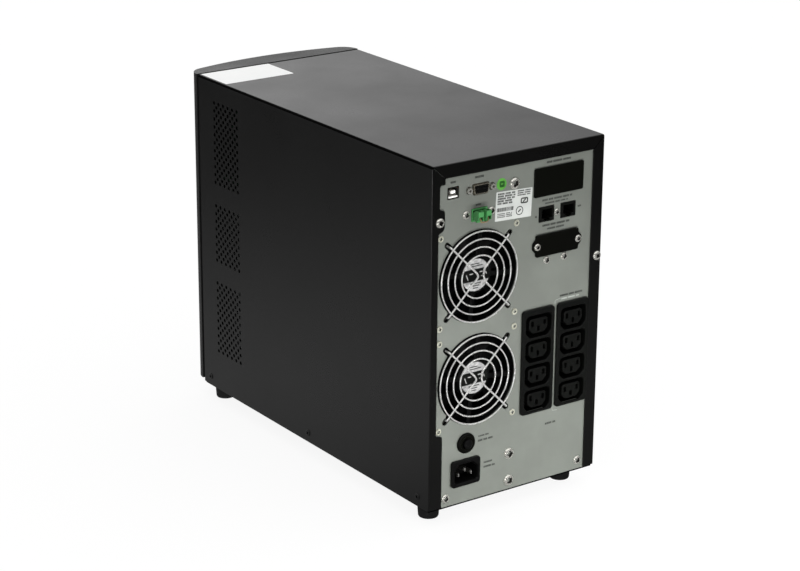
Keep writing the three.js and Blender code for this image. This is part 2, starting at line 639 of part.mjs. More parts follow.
function portCover() {
  const { x, z, size, ear, proud } = PORT_COVER;
  const [w, h] = [size[0] / 2, size[1] / 2];
  const shoulder = 6.5;
  const outline = polygon([
    [x - w + 2, z - h], [x + w - 2, z - h], [x + w, z - h + 2], [x + w, z - shoulder], [x + ear, z - 2],
    [x + ear, z + 2], [x + w, z + shoulder], [x + w, z + h - 2], [x + w - 2, z + h], [x - w + 2, z + h],
    [x - w, z + h - 2], [x - w, z + shoulder], [x - ear, z + 2], [x - ear, z - 2], [x - w, z - shoulder],
    [x - w, z - h + 2],
  ]);
  return piece('battery_port_cover', plate(outline, [ON_PANEL, ON_PANEL + proud]), LOOK.blackPlastic);
}

// ---------------------------------------------------------------- front

const BEZEL_BACK = -CASE.depth - BEZEL.seam;
const POCKET_FLOOR = -CASE.depth - BEZEL.reach + DISPLAY.floor;
const POCKET_BACK = POCKET_FLOOR + DISPLAY.pad;
const BUTTON_NAMES = ['button_on', 'button_select', 'button_off'];
const buttonX = (i) => (i - 1) * DISPLAY.buttonPitch;
const BUTTON_Z = DISPLAY.z + DISPLAY.buttonDrop;
const WINDOW_Z = DISPLAY.z + DISPLAY.windowRise;

// An open-backed shell of the bowed plan. Its neck is set in from the outside and closes the seam
// between the shell and the cover.
function bowedShell(z, neckZ) {
  const { wall, neck } = BEZEL;
  const outside = column(bowOutline(BEZEL_BACK, 0), z);
  const inset = block([neck - HALF, HALF - neck], [BEZEL_BACK - 1, -CASE.depth - GAP], neckZ);
  const inside = column(bowOutline(-CASE.depth, wall), [z[0] + wall, z[1] - wall]);
  return cut(join(outside, inset), inside);
}

function frontBezel() {
  const front = -CASE.depth - BEZEL.reach - 5;
  const through = [front, POCKET_BACK + 1];
  const resized = (size, by) => size.map((length) => length + by);
  const shell = bowedShell([BEZEL.split + GAP, CASE.height], [BEZEL.split + GAP, CASE.height - BEZEL.neck]);
  const padOutline = rectangle(0, DISPLAY.z, resized(DISPLAY.pocket, 2 * BEZEL.wall));
  const pad = plate(padOutline, [POCKET_FLOOR - DISPLAY.pad, POCKET_BACK]);
  const pocket = plate(rectangle(0, DISPLAY.z, DISPLAY.pocket), [front, POCKET_FLOOR]);
  const windowHole = plate(rectangle(0, WINDOW_Z, resized(DISPLAY.window, -6)), through);
  const seatOutline = rectangle(0, WINDOW_Z, resized(DISPLAY.window, 2 * GAP));
  const windowSeat = plate(seatOutline, [front, POCKET_FLOOR + 1.2]);
  const buttonHoles = BUTTON_NAMES.map((_, i) =>
    plate(rectangle(buttonX(i), BUTTON_Z, resized(DISPLAY.button, 2 * GAP)), through));
  const slots = Array.from({ length: GRILLE.rows }, (_, i) =>
    plate(rectangle(0, GRILLE.first + i * GRILLE.pitch, GRILLE.size), [front, -CASE.depth - 12]));
  const whole = cut(join(shell, pad), pocket, windowHole, windowSeat, buttonHoles, slots);
  return piece('front_bezel', whole, LOOK.bezelPlastic);
}

function bezelPlinth() {
  const shell = bowedShell([BEZEL.bottom, BEZEL.split], [BEZEL.bottom + BEZEL.neck, BEZEL.split]);
  return piece('bezel_plinth', shell, LOOK.bezelPlastic);
}

function displayWindow() {
  const lens = plate(rectangle(0, WINDOW_Z, DISPLAY.window), [POCKET_FLOOR - 0.6, POCKET_FLOOR + 1.2 - GAP]);
  return piece('lcd_window', lens, LOOK.windowPlastic);
}

function frontButton(name, i) {
  const [w, h] = DISPLAY.button;
  const x = buttonX(i);
  const cap = plate(roundedRectangle(x, BUTTON_Z, [w, h], 2), [POCKET_FLOOR - 2, POCKET_BACK + 1]);
  const collar = plate(rectangle(x, BUTTON_Z, [w + 3, h + 3]), [POCKET_BACK + GAP, POCKET_BACK + 1.4]);
  return piece(name, join(cap, collar), LOOK.blackPlastic);
}

function displayBoard() {
  const face = POCKET_BACK + 1.4 + DISPLAY.travel + GAP;
  const switchReach = 2.5;
  const board = plate(rectangle(0, DISPLAY.z, [100, 120]), [face + switchReach, face + switchReach + 1.6]);
  const glassOutline = rectangle(0, WINDOW_Z, DISPLAY.window.map((length) => length - 8));
  const glass = plate(glassOutline, [POCKET_BACK - 1, face + switchReach + 1]);
  const keys = BUTTON_NAMES.map((_, i) =>
    plate(rectangle(buttonX(i), BUTTON_Z, [6, 6]), [face, face + switchReach + 1]));
  return piece('display_board', join(board, glass, keys), LOOK.boardGreen);
}

// ---------------------------------------------------------------- inside

function battery(name, y, z) {
  const [length, width, height] = BATTERY.size;
  const body = block([-length / 2, length / 2], [y, y + width], [z, z + height]);
  const [w, d, h] = BATTERY.terminal;
  const terminal = (x) => block([x - w / 2, x + w / 2], [y + 8, y + 8 + d], [z + height - 1, z + height + h]);
  return piece(name, join(body, terminal(-length / 2 + 10), terminal(length / 2 - 10)), LOOK.batteryPlastic);
}

function batteries() {
  return BATTERY.layers.flatMap((z, layer) => Array.from({ length: 4 }, (_, i) =>
    battery(`battery_${layer * 4 + i + 1}`, BATTERY.firstY + i * BATTERY.pitchY, z)));
}

function batteryShelf() {
  const { half, top, front, rear } = SHELF;
  const roof = block([-half, half], [front, rear], [top, top + SHEET]);
  const leg = (x) => block([x, x + SHEET], [front, rear], [0.2, top + SHEET / 2]);
  return piece('battery_shelf', join(roof, leg(-half), leg(half - SHEET)), LOOK.innerSteel);
}

const powerBoard = () =>
  piece('power_board', block(BOARD.x, BOARD.y, [BOARD.z, BOARD.z + BOARD.thick]), LOOK.boardGreen);

function heatSink(name, x) {
  const { y, tall, spine, reach, fins, first, pitch, fin } = HEAT_SINK;
  const back = block([x, x + spine], y, [DECK, DECK + tall]);
  const blades = Array.from({ length: fins }, (_, i) => {
    const z = DECK + first + i * pitch;
    return block([x + spine - 1, x + reach], y, [z, z + fin]);
  });
  return piece(name, join(back, blades), LOOK.aluminium);
}

function controlBoard() {
  const { x, y, top, chip, chipRise, chipY, chipZ } = CONTROL;
  const board = block([x, x + BOARD.thick], y, [DECK, top]);
  const chipX = [x + 1, x + BOARD.thick + chipRise];
  const span = (centre) => [centre - chip, centre + chip];
  const chips = chipY.map((centre) => block(chipX, span(centre), span(chipZ)));
  return piece('control_board', join(board, chips), LOOK.boardGreen);
}

// A ring core lying on the board.
function choke() {
  const { x, y, inner, outer, tall, round } = CHOKE;
  const profile = [
    [inner, round], [inner + round, 0], [outer - round, 0], [outer, round], [outer, tall - round],
    [outer - round, tall], [inner + round, tall], [inner, tall - round], [inner, round],
  ];
  const points = profile.map(([radius, z]) => new THREE.Vector2(radius, z));
  const geometry = new THREE.LatheGeometry(points, 18).rotateX(Math.PI / 2).translate(x, y, DECK);
  return piece('choke', solid(geometry), LOOK.copper);
}

function transformer() {
  const parts = [TRANSFORMER.core, TRANSFORMER.coil];
  const blocks = parts.map(({ x, y, z }) => block(x, y, z.map((height) => DECK + height)));
  return piece('transformer', join(blocks), LOOK.copper);
}

function capacitor() {
  const { x, y, radius, length } = CAPACITOR;
  const can = new THREE.CylinderGeometry(radius, radius, length, 24).rotateX(Math.PI / 2);
  return piece('bulk_capacitor', solid(can.translate(x, y, DECK + length / 2)), LOOK.capSleeve);
}

// ---------------------------------------------------------------- assembly

const ups = new THREE.Group();
ups.position.set(0, REAR_Y, CASE_Z);
ups.add(cover(), baseChassis(), rearPanel(), ...feet(), ...coverScrews(), ...sideScrews());
ups.add(fanAssembly('upper', FAN.upper), fanAssembly('lower', FAN.lower));
ups.add(
  outletStrip('outlet_strip_left', OUTLET_STRIP.x.left),
  outletStrip('outlet_strip_right', OUTLET_STRIP.x.right),
  inletSocket(), ...INLET_PINS.map(inletPin), ...breaker(),
);
ups.add(usbPort(), serialPort(), ...epoTerminal(), slotCover(), portCover());
ups.add(...Object.entries(RJ45_X).map(([name, x]) => surgeJack(name, x)));
ups.add(frontBezel(), bezelPlinth(), displayWindow(), displayBoard(), ...BUTTON_NAMES.map(frontButton));
ups.add(batteryShelf(), ...batteries(), powerBoard(), controlBoard(), choke(), transformer(), capacitor());
ups.add(heatSink('heat_sink_left', HEAT_SINK.x[0]), heatSink('heat_sink_right', HEAT_SINK.x[1]));

const model = new THREE.Group();
model.add(ups);

export default model;
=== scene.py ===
"""Looks for the tower uninterruptible power supply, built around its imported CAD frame.

Meshes are made in millimetres in the case's own frame: y = 0 is the outside of the cover's rear
flange, z = 0 the cover's lower edge, x = 0 the middle, and +X is on the left when seen from behind.
CASE turns that into the row frame, in metres.
"""

import math
import random
from collections import namedtuple

import bmesh
import bpy
from mathutils import Matrix, Vector


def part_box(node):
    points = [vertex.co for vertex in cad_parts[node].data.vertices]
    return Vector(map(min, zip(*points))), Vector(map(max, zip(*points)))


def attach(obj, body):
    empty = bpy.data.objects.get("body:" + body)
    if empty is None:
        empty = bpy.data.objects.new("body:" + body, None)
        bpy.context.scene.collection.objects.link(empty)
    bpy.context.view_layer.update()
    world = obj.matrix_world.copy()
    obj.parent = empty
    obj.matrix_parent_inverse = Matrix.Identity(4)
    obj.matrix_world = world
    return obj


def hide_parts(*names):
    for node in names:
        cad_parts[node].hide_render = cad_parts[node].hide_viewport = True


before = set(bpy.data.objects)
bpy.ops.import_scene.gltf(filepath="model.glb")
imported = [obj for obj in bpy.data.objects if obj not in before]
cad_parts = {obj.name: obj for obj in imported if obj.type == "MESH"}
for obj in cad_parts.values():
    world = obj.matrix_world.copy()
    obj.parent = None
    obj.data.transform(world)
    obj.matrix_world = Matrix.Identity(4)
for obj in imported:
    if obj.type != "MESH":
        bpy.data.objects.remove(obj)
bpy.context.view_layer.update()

# ------------ the case's frame

MM = 0.001
COVER_LOW, COVER_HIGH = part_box("cover")
CASE = Matrix.Translation((0, COVER_HIGH.y, COVER_LOW.z)) @ Matrix.Scale(MM, 4)
INTO_CASE = CASE.inverted()
TURN = 2 * math.pi
QUARTER = math.pi / 2

Block = namedtuple("Block", "x z size back face")


def case_box(name):
    """A CAD node's lowest and highest corner, in millimetres in the case's frame."""
    low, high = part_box(name)
    return INTO_CASE @ low, INTO_CASE @ high


def centre(name):
    low, high = case_box(name)
    return (low + high) / 2


def block(name):
    """A CAD node seen from behind: its middle, its width and height, and its ends along Y."""
    low, high = case_box(name)
    size = (high.x - low.x, high.z - low.z)
    return Block((low.x + high.x) / 2, (low.z + high.z) / 2, size, low.y, high.y)


# ------------ sizes and places

HALF = COVER_HIGH.x / MM
HEIGHT = (COVER_HIGH.z - COVER_LOW.z) / MM
DEPTH = (COVER_HIGH.y - COVER_LOW.y) / MM
SHEET = 1.2
GAP = 0.3  # between pieces that touch
PANEL = block("rear_panel")
PANEL_BACK, PANEL_FACE = PANEL.back, PANEL.face
ON_PANEL = PANEL_FACE + GAP  # underside of what sits on the outside of the panel
BEHIND_PANEL = PANEL_BACK - GAP
COVER_SEAT = PANEL_FACE + 0.05  # the slot's and the battery port's covers lie nearly on the panel
THROUGH = (-9.0, 4.0)  # from well behind the panel to well outside it
ACROSS = (-HALF - 4, HALF + 4)  # from outside one side wall to outside the other
PLANE_TOLERANCE = 0.01

COVER_SCREW_NODES = ["cover_screw_left", "cover_screw_right"]
STRIP_NODES = ["outlet_strip_left", "outlet_strip_right"]
JACK_NODES = ["surge_jack_in", "surge_jack_out"]
PIN_NODES = ["inlet_pin_line", "inlet_pin_neutral", "inlet_pin_earth"]
FOOT_NODES = [f"foot_{place}" for place in ("front_left", "front_right", "rear_left", "rear_right")]
LEVELS = ["upper", "lower"]

# the cover and the panel
WINDOW = [  # the rear flange's opening, seen from behind: up the right side and down the left, with radii
    (-83, -6, 0), (-83, 306.5, 1), (81, 306.5, 1), (81, 301, 0.8), (86.5, 301, 2), (86.5, 279, 2),
    (81, 278, 2.5), (81, 260.5, 7), (87.7, 257.5, 3), (87.7, 70, 2), (81, 69, 2), (81, -6, 0),
]
MITRES = [((HALF - 1.7, HEIGHT - 1.7), (81, 306.5)), ((1.7 - HALF, HEIGHT - 1.7), (-83, 306.5))]
MITRE_WIDTH = 0.5
VENT_Y, VENT_STEP, VENT_COLUMNS, VENT_PITCH, VENT_RADIUS = -357.5, 4.15, 11, 8.0, 1.85
VENT_BLOCKS = [(297, 11), (193, 8), (113, 10)]  # top hole's z, rows
TOP_BEND, INNER_BEND, FLANGE_BEND = 2.2, 0.8, 1.0
SCREW_HOLE = 2.3
SIDE_SCREW_HOLES = [(y, 8.5) for y in (-374, -195, -17)]
COVERED_OPENINGS = {"slot_cover": (49, 22), "battery_port_cover": (38, 15), "inlet_socket": (28.2, 20.8)}

# screws
PANEL_SCREWS = [  # name, x, z, head radius
    ("screw_top", 5.2, 289.6, 5.1),
    ("screw_epo_left", 57.4, 269.6, 3.6),
    ("screw_epo_right", 29.8, 269.1, 3.6),
    ("screw_jacks", -43.2, 255.0, 3.0),
    ("screw_port_low_left", -33.0, 212.0, 3.6),
    ("screw_port_low_right", -53.0, 212.0, 3.6),
    ("screw_bottom_high", 4.8, 34.3, 5.3),
    ("screw_bottom_low", 4.4, 7.9, 5.3),
    ("screw_corner_left", 75.6, 7.2, 4.1),
    ("screw_corner_right", -76.0, 8.0, 4.1),
]
PORT_SCREWS = [("screw_port_left", 23.2), ("screw_port_right", -23.2)]  # name, x from the port's middle
COVER_SCREW_TURNS = (0.3, 0.9)
SIDE_SCREW_TURNS = [("front", 0.2), ("middle", 0.7), ("rear", 1.1)]
SHANK = 2.5

# fans
FAN_OPENING, SLOT_REACH, SLOT_WIDTH = 42.7, 51.0, 5.6
FAN_HOLE = 41.25  # a mounting hole's distance from the fan's middle, each way
RINGS = [41.5, 34.3, 27.0, 19.5]
WIRE, SPOKE_WIRE = 0.7, 0.86
RING_Y = 0.9
SPOKE_RISE = 1.45  # a spoke's centre line lies this far outside or inside the rings'
SLOT_BEND, EYELET, EYELET_RADIUS = 46.0, 58.3, 3.35
APEX = {1: 1.6, -1: 4.4}  # how far from the middle the left and the right wire turn back
BARREL, BARREL_WALL, FRAME_WALL = 43.6, 45.6, 4.0
HUB = 17.5
LABEL_RADIUS, LABEL_BAND = 14.8, 5.6
BLADES, BLADE_THICK = 7, 0.55
HUB_DARK_MARKS = [(1, 10.4, 9), (-1, 8.4, 13), (0, -7.6, 12), (1, -9.8, 10), (0, -12.0, 6)]  # x, z, length
HUB_PALE_MARKS = [  # x, z, length, turn
    (9.4, -1.2, 6, 1.2), (5.0, 1.6, 4, 0.0), (-6.4, 2.2, 5, 0.0), (-7.6, -1.8, 4, 0.0), (-11, 0.4, 3, 1.2),
]

# connectors
OUTLET_ROWS = [152.1, 128.3, 104.5, 80.7]
OUTLET_DEPTH = 16.0
OUTLET_SLOTS = [(-7, 2.2), (7, 2.2), (0, -2.6)]  # x and z from the outlet's middle
JACK_NUTS = [("serial_nut_left", 12.5), ("serial_nut_right", -12.5)]  # name, x from the connector's middle
SERIAL_PITCH, SERIAL_ROW, SERIAL_HOLE = 2.76, 1.42, 0.62
EPO_POLE = 4.3  # a pole's distance from the middle of the emergency-stop plug
EPO_ENTRY = -1.6  # height of the wire entries from the middle
JACK_CONTACTS, JACK_PITCH = 8, 1.02

# printing
TEXT_LINES = [  # left end x, right end x, z, height of the dashes
    (74.4, 68.2, 301.6, 1.8), (48.4, 38.8, 302.0, 1.9), (46.8, 41.2, 276.9, 1.8),
    (-30.6, -58.4, 302.6, 1.9), (-26.6, -60.4, 268.2, 1.8), (-30, -56, 265.0, 1.4),
    (-27.6, -58.4, 244.6, 1.9), (-33, -52, 241.0, 1.7), (-50, -77, 174.6, 1.8), (-37, -49, 53.2, 1.9),
    (39.5, 27, 59.1, 1.4), (39.8, 23.4, 54.8, 1.9), (32.8, 22.2, 32.0, 1.7), (32.8, 19.2, 27.6, 1.8),
    (-18.8, -21.0, 254.2, 1.7), (-67.4, -71.5, 256.2, 1.6),
]
FAINT_LINE = (-52, -73, 171.4, 1.3)  # paler print
INK = 0.03  # how far printing stands out of its surface, and reaches into it
BRACKET_X, BRACKET_ENDS = -44.6, ((171.6, -1), (64.6, 1))  # the pale line beside the outlets
RATING_PLACE, RATING_SIZE, RATING_THICK, RATING_TURN = (5.4, 270.3), (40.0, 26.5), 0.12, -2.5
RATING_ROWS = [  # rows, left end x, right end x, first row's z, spacing, height of the dashes
    (3, 18.2, -1.6, 11.2, 2.2, 1.65), (2, 18.2, 1.6, 4.6, 2.2, 1.65), (3, 17.6, 1.4, -6.9, 1.5, 0.85),
    (3, -3.6, -17.8, 11.6, 1.9, 1.2),
]
RATING_BARS = (18.4, 1.4, -4.9, -1.4)  # left end x, right end x, lowest and highest z
STICKER = (19.3, 291.1, 5.4)  # x, z, radius
TOP_LABEL = (53.5, -362.5, (77, 47))  # x, y, size

# the front
BOW = {"reach": 30.0, "radius": 350.0, "corner": 18.0, "wall": 2.5}
FRONT, NECK_BACK = block("front_bezel").back, block("front_bezel").face
SHELL_BACK = -DEPTH - 2.8
NECK_INSET = 1.5
POCKET_FLOOR = FRONT + 4.6
POCKET_BACK = POCKET_FLOOR + 2.6
DISPLAY_Z = 232
INTAKE_SLOTS, INTAKE_LOWEST, INTAKE_PITCH = 7, 62, 12
# what is printed on each cap: a bar, turned so far, or a ring where there is no turn
BUTTON_MARKS = {"button_on": QUARTER, "button_select": 0.0, "button_off": None}

# the studio
FLOOR_GLOW = 0.88  # how much of the floor's own paleness the eye sees, whatever falls on it
FLOOR_STOPS = [  # how far along the sweep, in metres, and how bright the glow that glossy rays see there is: a painted reflection
    (-1.3, 0.005), (-1.1, 0.02), (-0.9, 0.08), (-0.65, 0.15), (-0.2, 0.15), (-0.1, 0.16), (0.04, 0.29),
    (0.256, 0.37), (0.4, 0.33), (0.616, 0.26), (1.03, 0.09), (1.5, 0.07),
]
SWEEP = (0.58, -0.81, 0)  # the direction along which the painted reflection's glow changes
VIEW = {
    "lens": 105.29, "place": (1.21935, 1.73619, 0.89306), "azimuth": 144.515, "elevation": 19.208,
    "roll": 0.408,
}

# ------------ meshes

PLACE = {
    "x": lambda u, v, w: (w, u, v),
    "y": lambda u, v, w: (u, w, v),
    "z": lambda u, v, w: (u, v, w),
}


def skinned(bm, rings):
    """Closes the first and the last ring, and joins each ring to the next."""
    bm.faces.new(rings[0])
    bm.faces.new(rings[-1])
    count = len(rings[0])
    for low, high in zip(rings, rings[1:]):
        for i in range(count):
            j = (i + 1) % count
            bm.faces.new((low[i], low[j], high[j], high[i]))
    bmesh.ops.recalc_face_normals(bm, faces=bm.faces)
    return bm


def loft(sections, axis="y"):
    """A closed solid through (outline, height) sections whose outlines have the same number of points."""
    bm = bmesh.new()
    rings = [[bm.verts.new(PLACE[axis](u, v, w)) for u, v in outline] for outline, w in sections]
    return skinned(bm, rings)


def prism(outline, span, axis="y"):
    return loft([(outline, span[0]), (outline, span[1])], axis)


def plate(x, z, size, span, radius=0.0):
    """A rounded rectangle seen from behind, as thick as its span."""
    return prism(rectangle(x, z, size, radius), span)


def peg(x, z, radius, span=THROUGH, sides=32):
    """A round bar along Y."""
    return prism(circle(x, z, radius, sides), span)


def turned(profile, at=(0, 0, 0), axis="y", sides=32):
    """A (radius, height) profile turned about an axis. It starts and ends there, or closes on itself."""
    bm = bmesh.new()
    closed = profile[0] == profile[-1]
    rows = []
    for radius, height in profile[:-1] if closed else profile:
        count = sides if radius > 0 else 1
        angles = [TURN * k / sides for k in range(count)]
        points = [PLACE[axis](radius * math.cos(a), radius * math.sin(a), height) for a in angles]
        rows.append([bm.verts.new(Vector(p) + Vector(at)) for p in points])
    pairs = list(zip(rows, rows[1:]))
    if closed:
        pairs.append((rows[-1], rows[0]))
    for low, high in pairs:
        for k in range(sides):
            m = (k + 1) % sides
            corners = [low[k % len(low)], low[m % len(low)], high[m % len(high)], high[k % len(high)]]
            bm.faces.new(list(dict.fromkeys(corners)))
    bmesh.ops.recalc_face_normals(bm, faces=bm.faces)
    return bm


def tube(path, radius, sides=10):
    """A round wire along a path of points."""
    bm = bmesh.new()
    points = [Vector(p) for p in path]
    side = None
    rings = []
    for i, point in enumerate(points):
        ahead = points[min(i + 1, len(points) - 1)] - points[max(i - 1, 0)]
        ahead.normalize()
        side = ahead.orthogonal() if side is None else side - ahead * side.dot(ahead)
        side.normalize()
        across = ahead.cross(side)
        rings.append([bm.verts.new(point + side * u + across * v) for u, v in circle(0, 0, radius, sides)])
    return skinned(bm, rings)


def hoop(radius, wire, at=(0, 0, 0), sides=72, facets=10):
    """A ring of round wire about an axis along Y."""
    profile = [(radius + u, v) for u, v in circle(0, 0, wire, facets)]
    return turned(profile + profile[:1], at, sides=sides)


def box(x, y, z):
    return prism([(x[0], z[0]), (x[1], z[0]), (x[1], z[1]), (x[0], z[1])], y)


def placed(name, data):
    """An object with its data, in the scene's collection."""
    obj = bpy.data.objects.new(name, data)
    bpy.context.scene.collection.objects.link(obj)
    return obj


def as_mesh(name, bm):
    mesh = bpy.data.meshes.new(name)
    bm.to_mesh(mesh)
    bm.free()
    return mesh


def merged(*parts):
    """Several meshes as one. Each part is used up."""
    whole = bmesh.new()
    for part in parts:
        holder = as_mesh("holder", part)
        whole.from_mesh(holder)
        bpy.data.meshes.remove(holder)
    return whole


def combine(operation, base, *tools):
    """A boolean of closed meshes. Base and tools are used up."""
    objects = [placed("operand", as_mesh("operand", bm)) for bm in (base, merged(*tools))]
    modifier = objects[0].modifiers.new("combine", "BOOLEAN")
    modifier.operation = operation
    modifier.solver = "MANIFOLD"
    modifier.object = objects[1]
    shaped = objects[0].evaluated_get(bpy.context.evaluated_depsgraph_get())
    result = bmesh.new()
    result.from_mesh(shaped.to_mesh())
    shaped.to_mesh_clear()
    for obj in objects:
        mesh = obj.data
        bpy.data.objects.remove(obj)
        bpy.data.meshes.remove(mesh)
    return result


def cut(base, *tools):
    return combine("DIFFERENCE", base, *tools)


def joined(base, *tools):
    """Overlapping solids as one closed skin."""
    for tool in tools:
        base = combine("UNION", base, tool)
    return base


def moved(bm, matrix):
    bmesh.ops.transform(bm, matrix=matrix, verts=bm.verts)
    return bm


def softened(bm, width, segments=2, pick=None, sharper_than=30):
    """Rounds the edges that turn more than an angle, or only those that pick() accepts."""
    limit = math.radians(sharper_than)
    edges = [e for e in bm.edges if len(e.link_faces) == 2 and e.calc_face_angle(0) > limit]
    if pick:
        edges = [e for e in edges if pick(*(v.co for v in e.verts))]
    bmesh.ops.bevel(
        bm, geom=edges, offset=width, segments=segments, profile=0.5, affect="EDGES", clamp_overlap=True
    )
    return bm


def on_rear(face):
    """Picks the edges that lie in a rear-facing plane."""
    return lambda a, b: min(a.y, b.y) > face - PLANE_TOLERANCE


def on_front(face):
    """Picks the edges that lie in a front-facing plane."""
    return lambda a, b: max(a.y, b.y) < face + PLANE_TOLERANCE


def fronted(at, radius, width, back=ON_PANEL, segments=3):
    """A CAD node's outline seen from behind, filled from a given depth, with its rear edges rounded."""
    return softened(plate(at.x, at.z, at.size, (back, at.face), radius), width, segments, on_rear(at.face))


# ------------ outlines, as lists of points


def filleted(corners, steps=4):
    """A polygon of (u, v, radius) corners with each corner rounded to its radius."""
    points = []
    count = len(corners)
    for i, (u, v, radius) in enumerate(corners):
        here = Vector((u, v))
        before = Vector(corners[i - 1][:2]) - here
        after = Vector(corners[(i + 1) % count][:2]) - here
        if radius <= 0:
            points.append((u, v))
            continue
        half = before.angle(after) / 2
        reach = min(radius / math.tan(half), before.length * 0.49, after.length * 0.49)
        radius = reach * math.tan(half)
        middle = here + (before.normalized() + after.normalized()).normalized() * radius / math.sin(half)
        start = here + before.normalized() * reach - middle
        end = here + after.normalized() * reach - middle
        sweep = start.angle_signed(end)
        for k in range(steps + 1):
            points.append(tuple(middle + Matrix.Rotation(-sweep * k / steps, 2) @ start))
    return points


def rectangle(u, v, size, radius=0.0, steps=4):
    w, h = size[0] / 2, size[1] / 2
    corners = [(u - w, v - h), (u + w, v - h), (u + w, v + h), (u - w, v + h)]
    return filleted([(a, b, radius) for a, b in corners], steps)


def circle(u, v, radius, sides=32):
    angles = [TURN * k / sides for k in range(sides)]
    return [(u + radius * math.cos(a), v + radius * math.sin(a)) for a in angles]


def capsule(u, v, length, width, turn=0.0, sides=8):
    """A slot with round ends."""
    radius = width / 2
    reach = length / 2 - radius
    points = []
    for sign in (1, -1):
        for k in range(sides + 1):
            a = math.pi * (k / sides - 0.5) + (0 if sign > 0 else math.pi)
            points.append(Vector((sign * reach + radius * math.cos(a), radius * math.sin(a))))
    spin = Matrix.Rotation(turn, 2)
    return [(u + (spin @ p).x, v + (spin @ p).y) for p in points]


def coupler(u, v, size, chamfer, earth, radius):
    """An appliance coupler: a rounded rectangle whose two corners on the earth side are cut off."""
    w, h, c = size[0] / 2, size[1] / 2 * earth, chamfer * earth
    corners = [(-w, -h), (w, -h), (w, h - c), (w - chamfer, h), (chamfer - w, h), (-w, h - c)]
    return filleted([(u + a, v + b, radius) for a, b in corners])


def d_shape(u, v, size, radius, slope=1.4):
    w, h = size[0] / 2, size[1] / 2
    corners = [(u - w + slope, v - h), (u + w - slope, v - h), (u + w, v + h), (u - w, v + h)]
    return filleted([(a, b, radius) for a, b in corners])


# ------------ materials

MATERIALS = {}
MIX_SOCKETS = {"FLOAT": (2, 3, 0), "RGBA": (6, 7, 2)}  # the Mix node's A, B and result, by kind


def node(tree, kind, inputs=None, **settings):
    made = tree.nodes.new("ShaderNode" + kind)
    for key, value in settings.items():
        setattr(made, key, value)
    for key, value in (inputs or {}).items():
        if isinstance(value, bpy.types.NodeSocket):
            tree.links.new(value, made.inputs[key])
        else:
            made.inputs[key].default_value = value
    return made


def noise(tree, where, scale, detail, stretch):
    vector = where
    if stretch:
        vector = node(tree, "Mapping", {"Vector": where, "Scale": stretch}).outputs["Vector"]
    return node(tree, "TexNoise", {"Vector": vector, "Scale": scale, "Detail": detail}).outputs["Fac"]


def mapped(tree, value, low, high, out_low, out_high):
    inputs = {"Value": value, "From Min": low, "From Max": high, "To Min": out_low, "To Max": out_high}
    return node(tree, "MapRange", inputs).outputs["Result"]


def mixed(tree, factor, first, second, kind="FLOAT"):
    """Goes from the first to the second number or colour as the factor goes from 0 to 1."""
    a, b, result = MIX_SOCKETS[kind]
    return node(tree, "Mix", {"Factor": factor, a: first, b: second}, data_type=kind).outputs[result]


def graph(name, owner):
    made = owner.new(name)
    made.use_nodes = True
    made.node_tree.nodes.clear()
    return made, made.node_tree


def surface(
    name, light, dark, rough, metal=0, mottle=14, grain=1400, depth=0.02, stretch=None, specular=0.5
):
    """A finish with drifting colour, a fine surface grain in its bump, and uneven gloss.

    light and dark are the two colours it drifts between; rough is a pair of roughness limits; mottle and
    grain are the two scales per metre; depth is the height of the grain in millimetres.
    """
    made, tree = graph(name, bpy.data.materials)
    where = node(tree, "TexCoord").outputs["Object"]
    drift = noise(tree, where, mottle, 4.0, stretch)
    fine = noise(tree, where, grain, 3.0, stretch)
    blotches = mapped(tree, drift, 0.35, 0.65, 0.0, 1.0)
    uneven = node(tree, "Math", {0: drift, 1: fine}, operation="ADD").outputs[0]
    bump = node(tree, "Bump", {"Height": fine, "Distance": depth * MM, "Strength": 0.5})
    shader = node(tree, "BsdfPrincipled", {
        "Base Color": mixed(tree, blotches, (*light, 1), (*dark, 1), "RGBA"),
        "Metallic": metal,
        "Roughness": mapped(tree, uneven, 0.7, 1.3, rough[0], rough[1]),
        "Specular IOR Level": specular,
        "Normal": bump.outputs["Normal"],
    })
    node(tree, "OutputMaterial", {"Surface": shader.outputs["BSDF"]})
    MATERIALS[name] = made


def grey(value):
    return (value, value, value)


def make_paints():
    surface(
        "cover_paint", (0.0016, 0.0016, 0.0015), (0.0010, 0.0010, 0.0009), (0.27, 0.37), grain=1700,
        depth=0.05,
    )
    # Painted shade: a near-black matt copy of the cover paint, for the top bends and the hem under the panel.
    surface("bend_painted_shade", (0.0012, 0.0012, 0.0011), grey(0.0008), (0.75, 0.85), specular=0.02)
    surface(
        "panel_steel", (0.130, 0.140, 0.124), (0.112, 0.120, 0.106), (0.36, 0.5), metal=0.1, mottle=22,
        grain=2600, depth=0.03,
    )


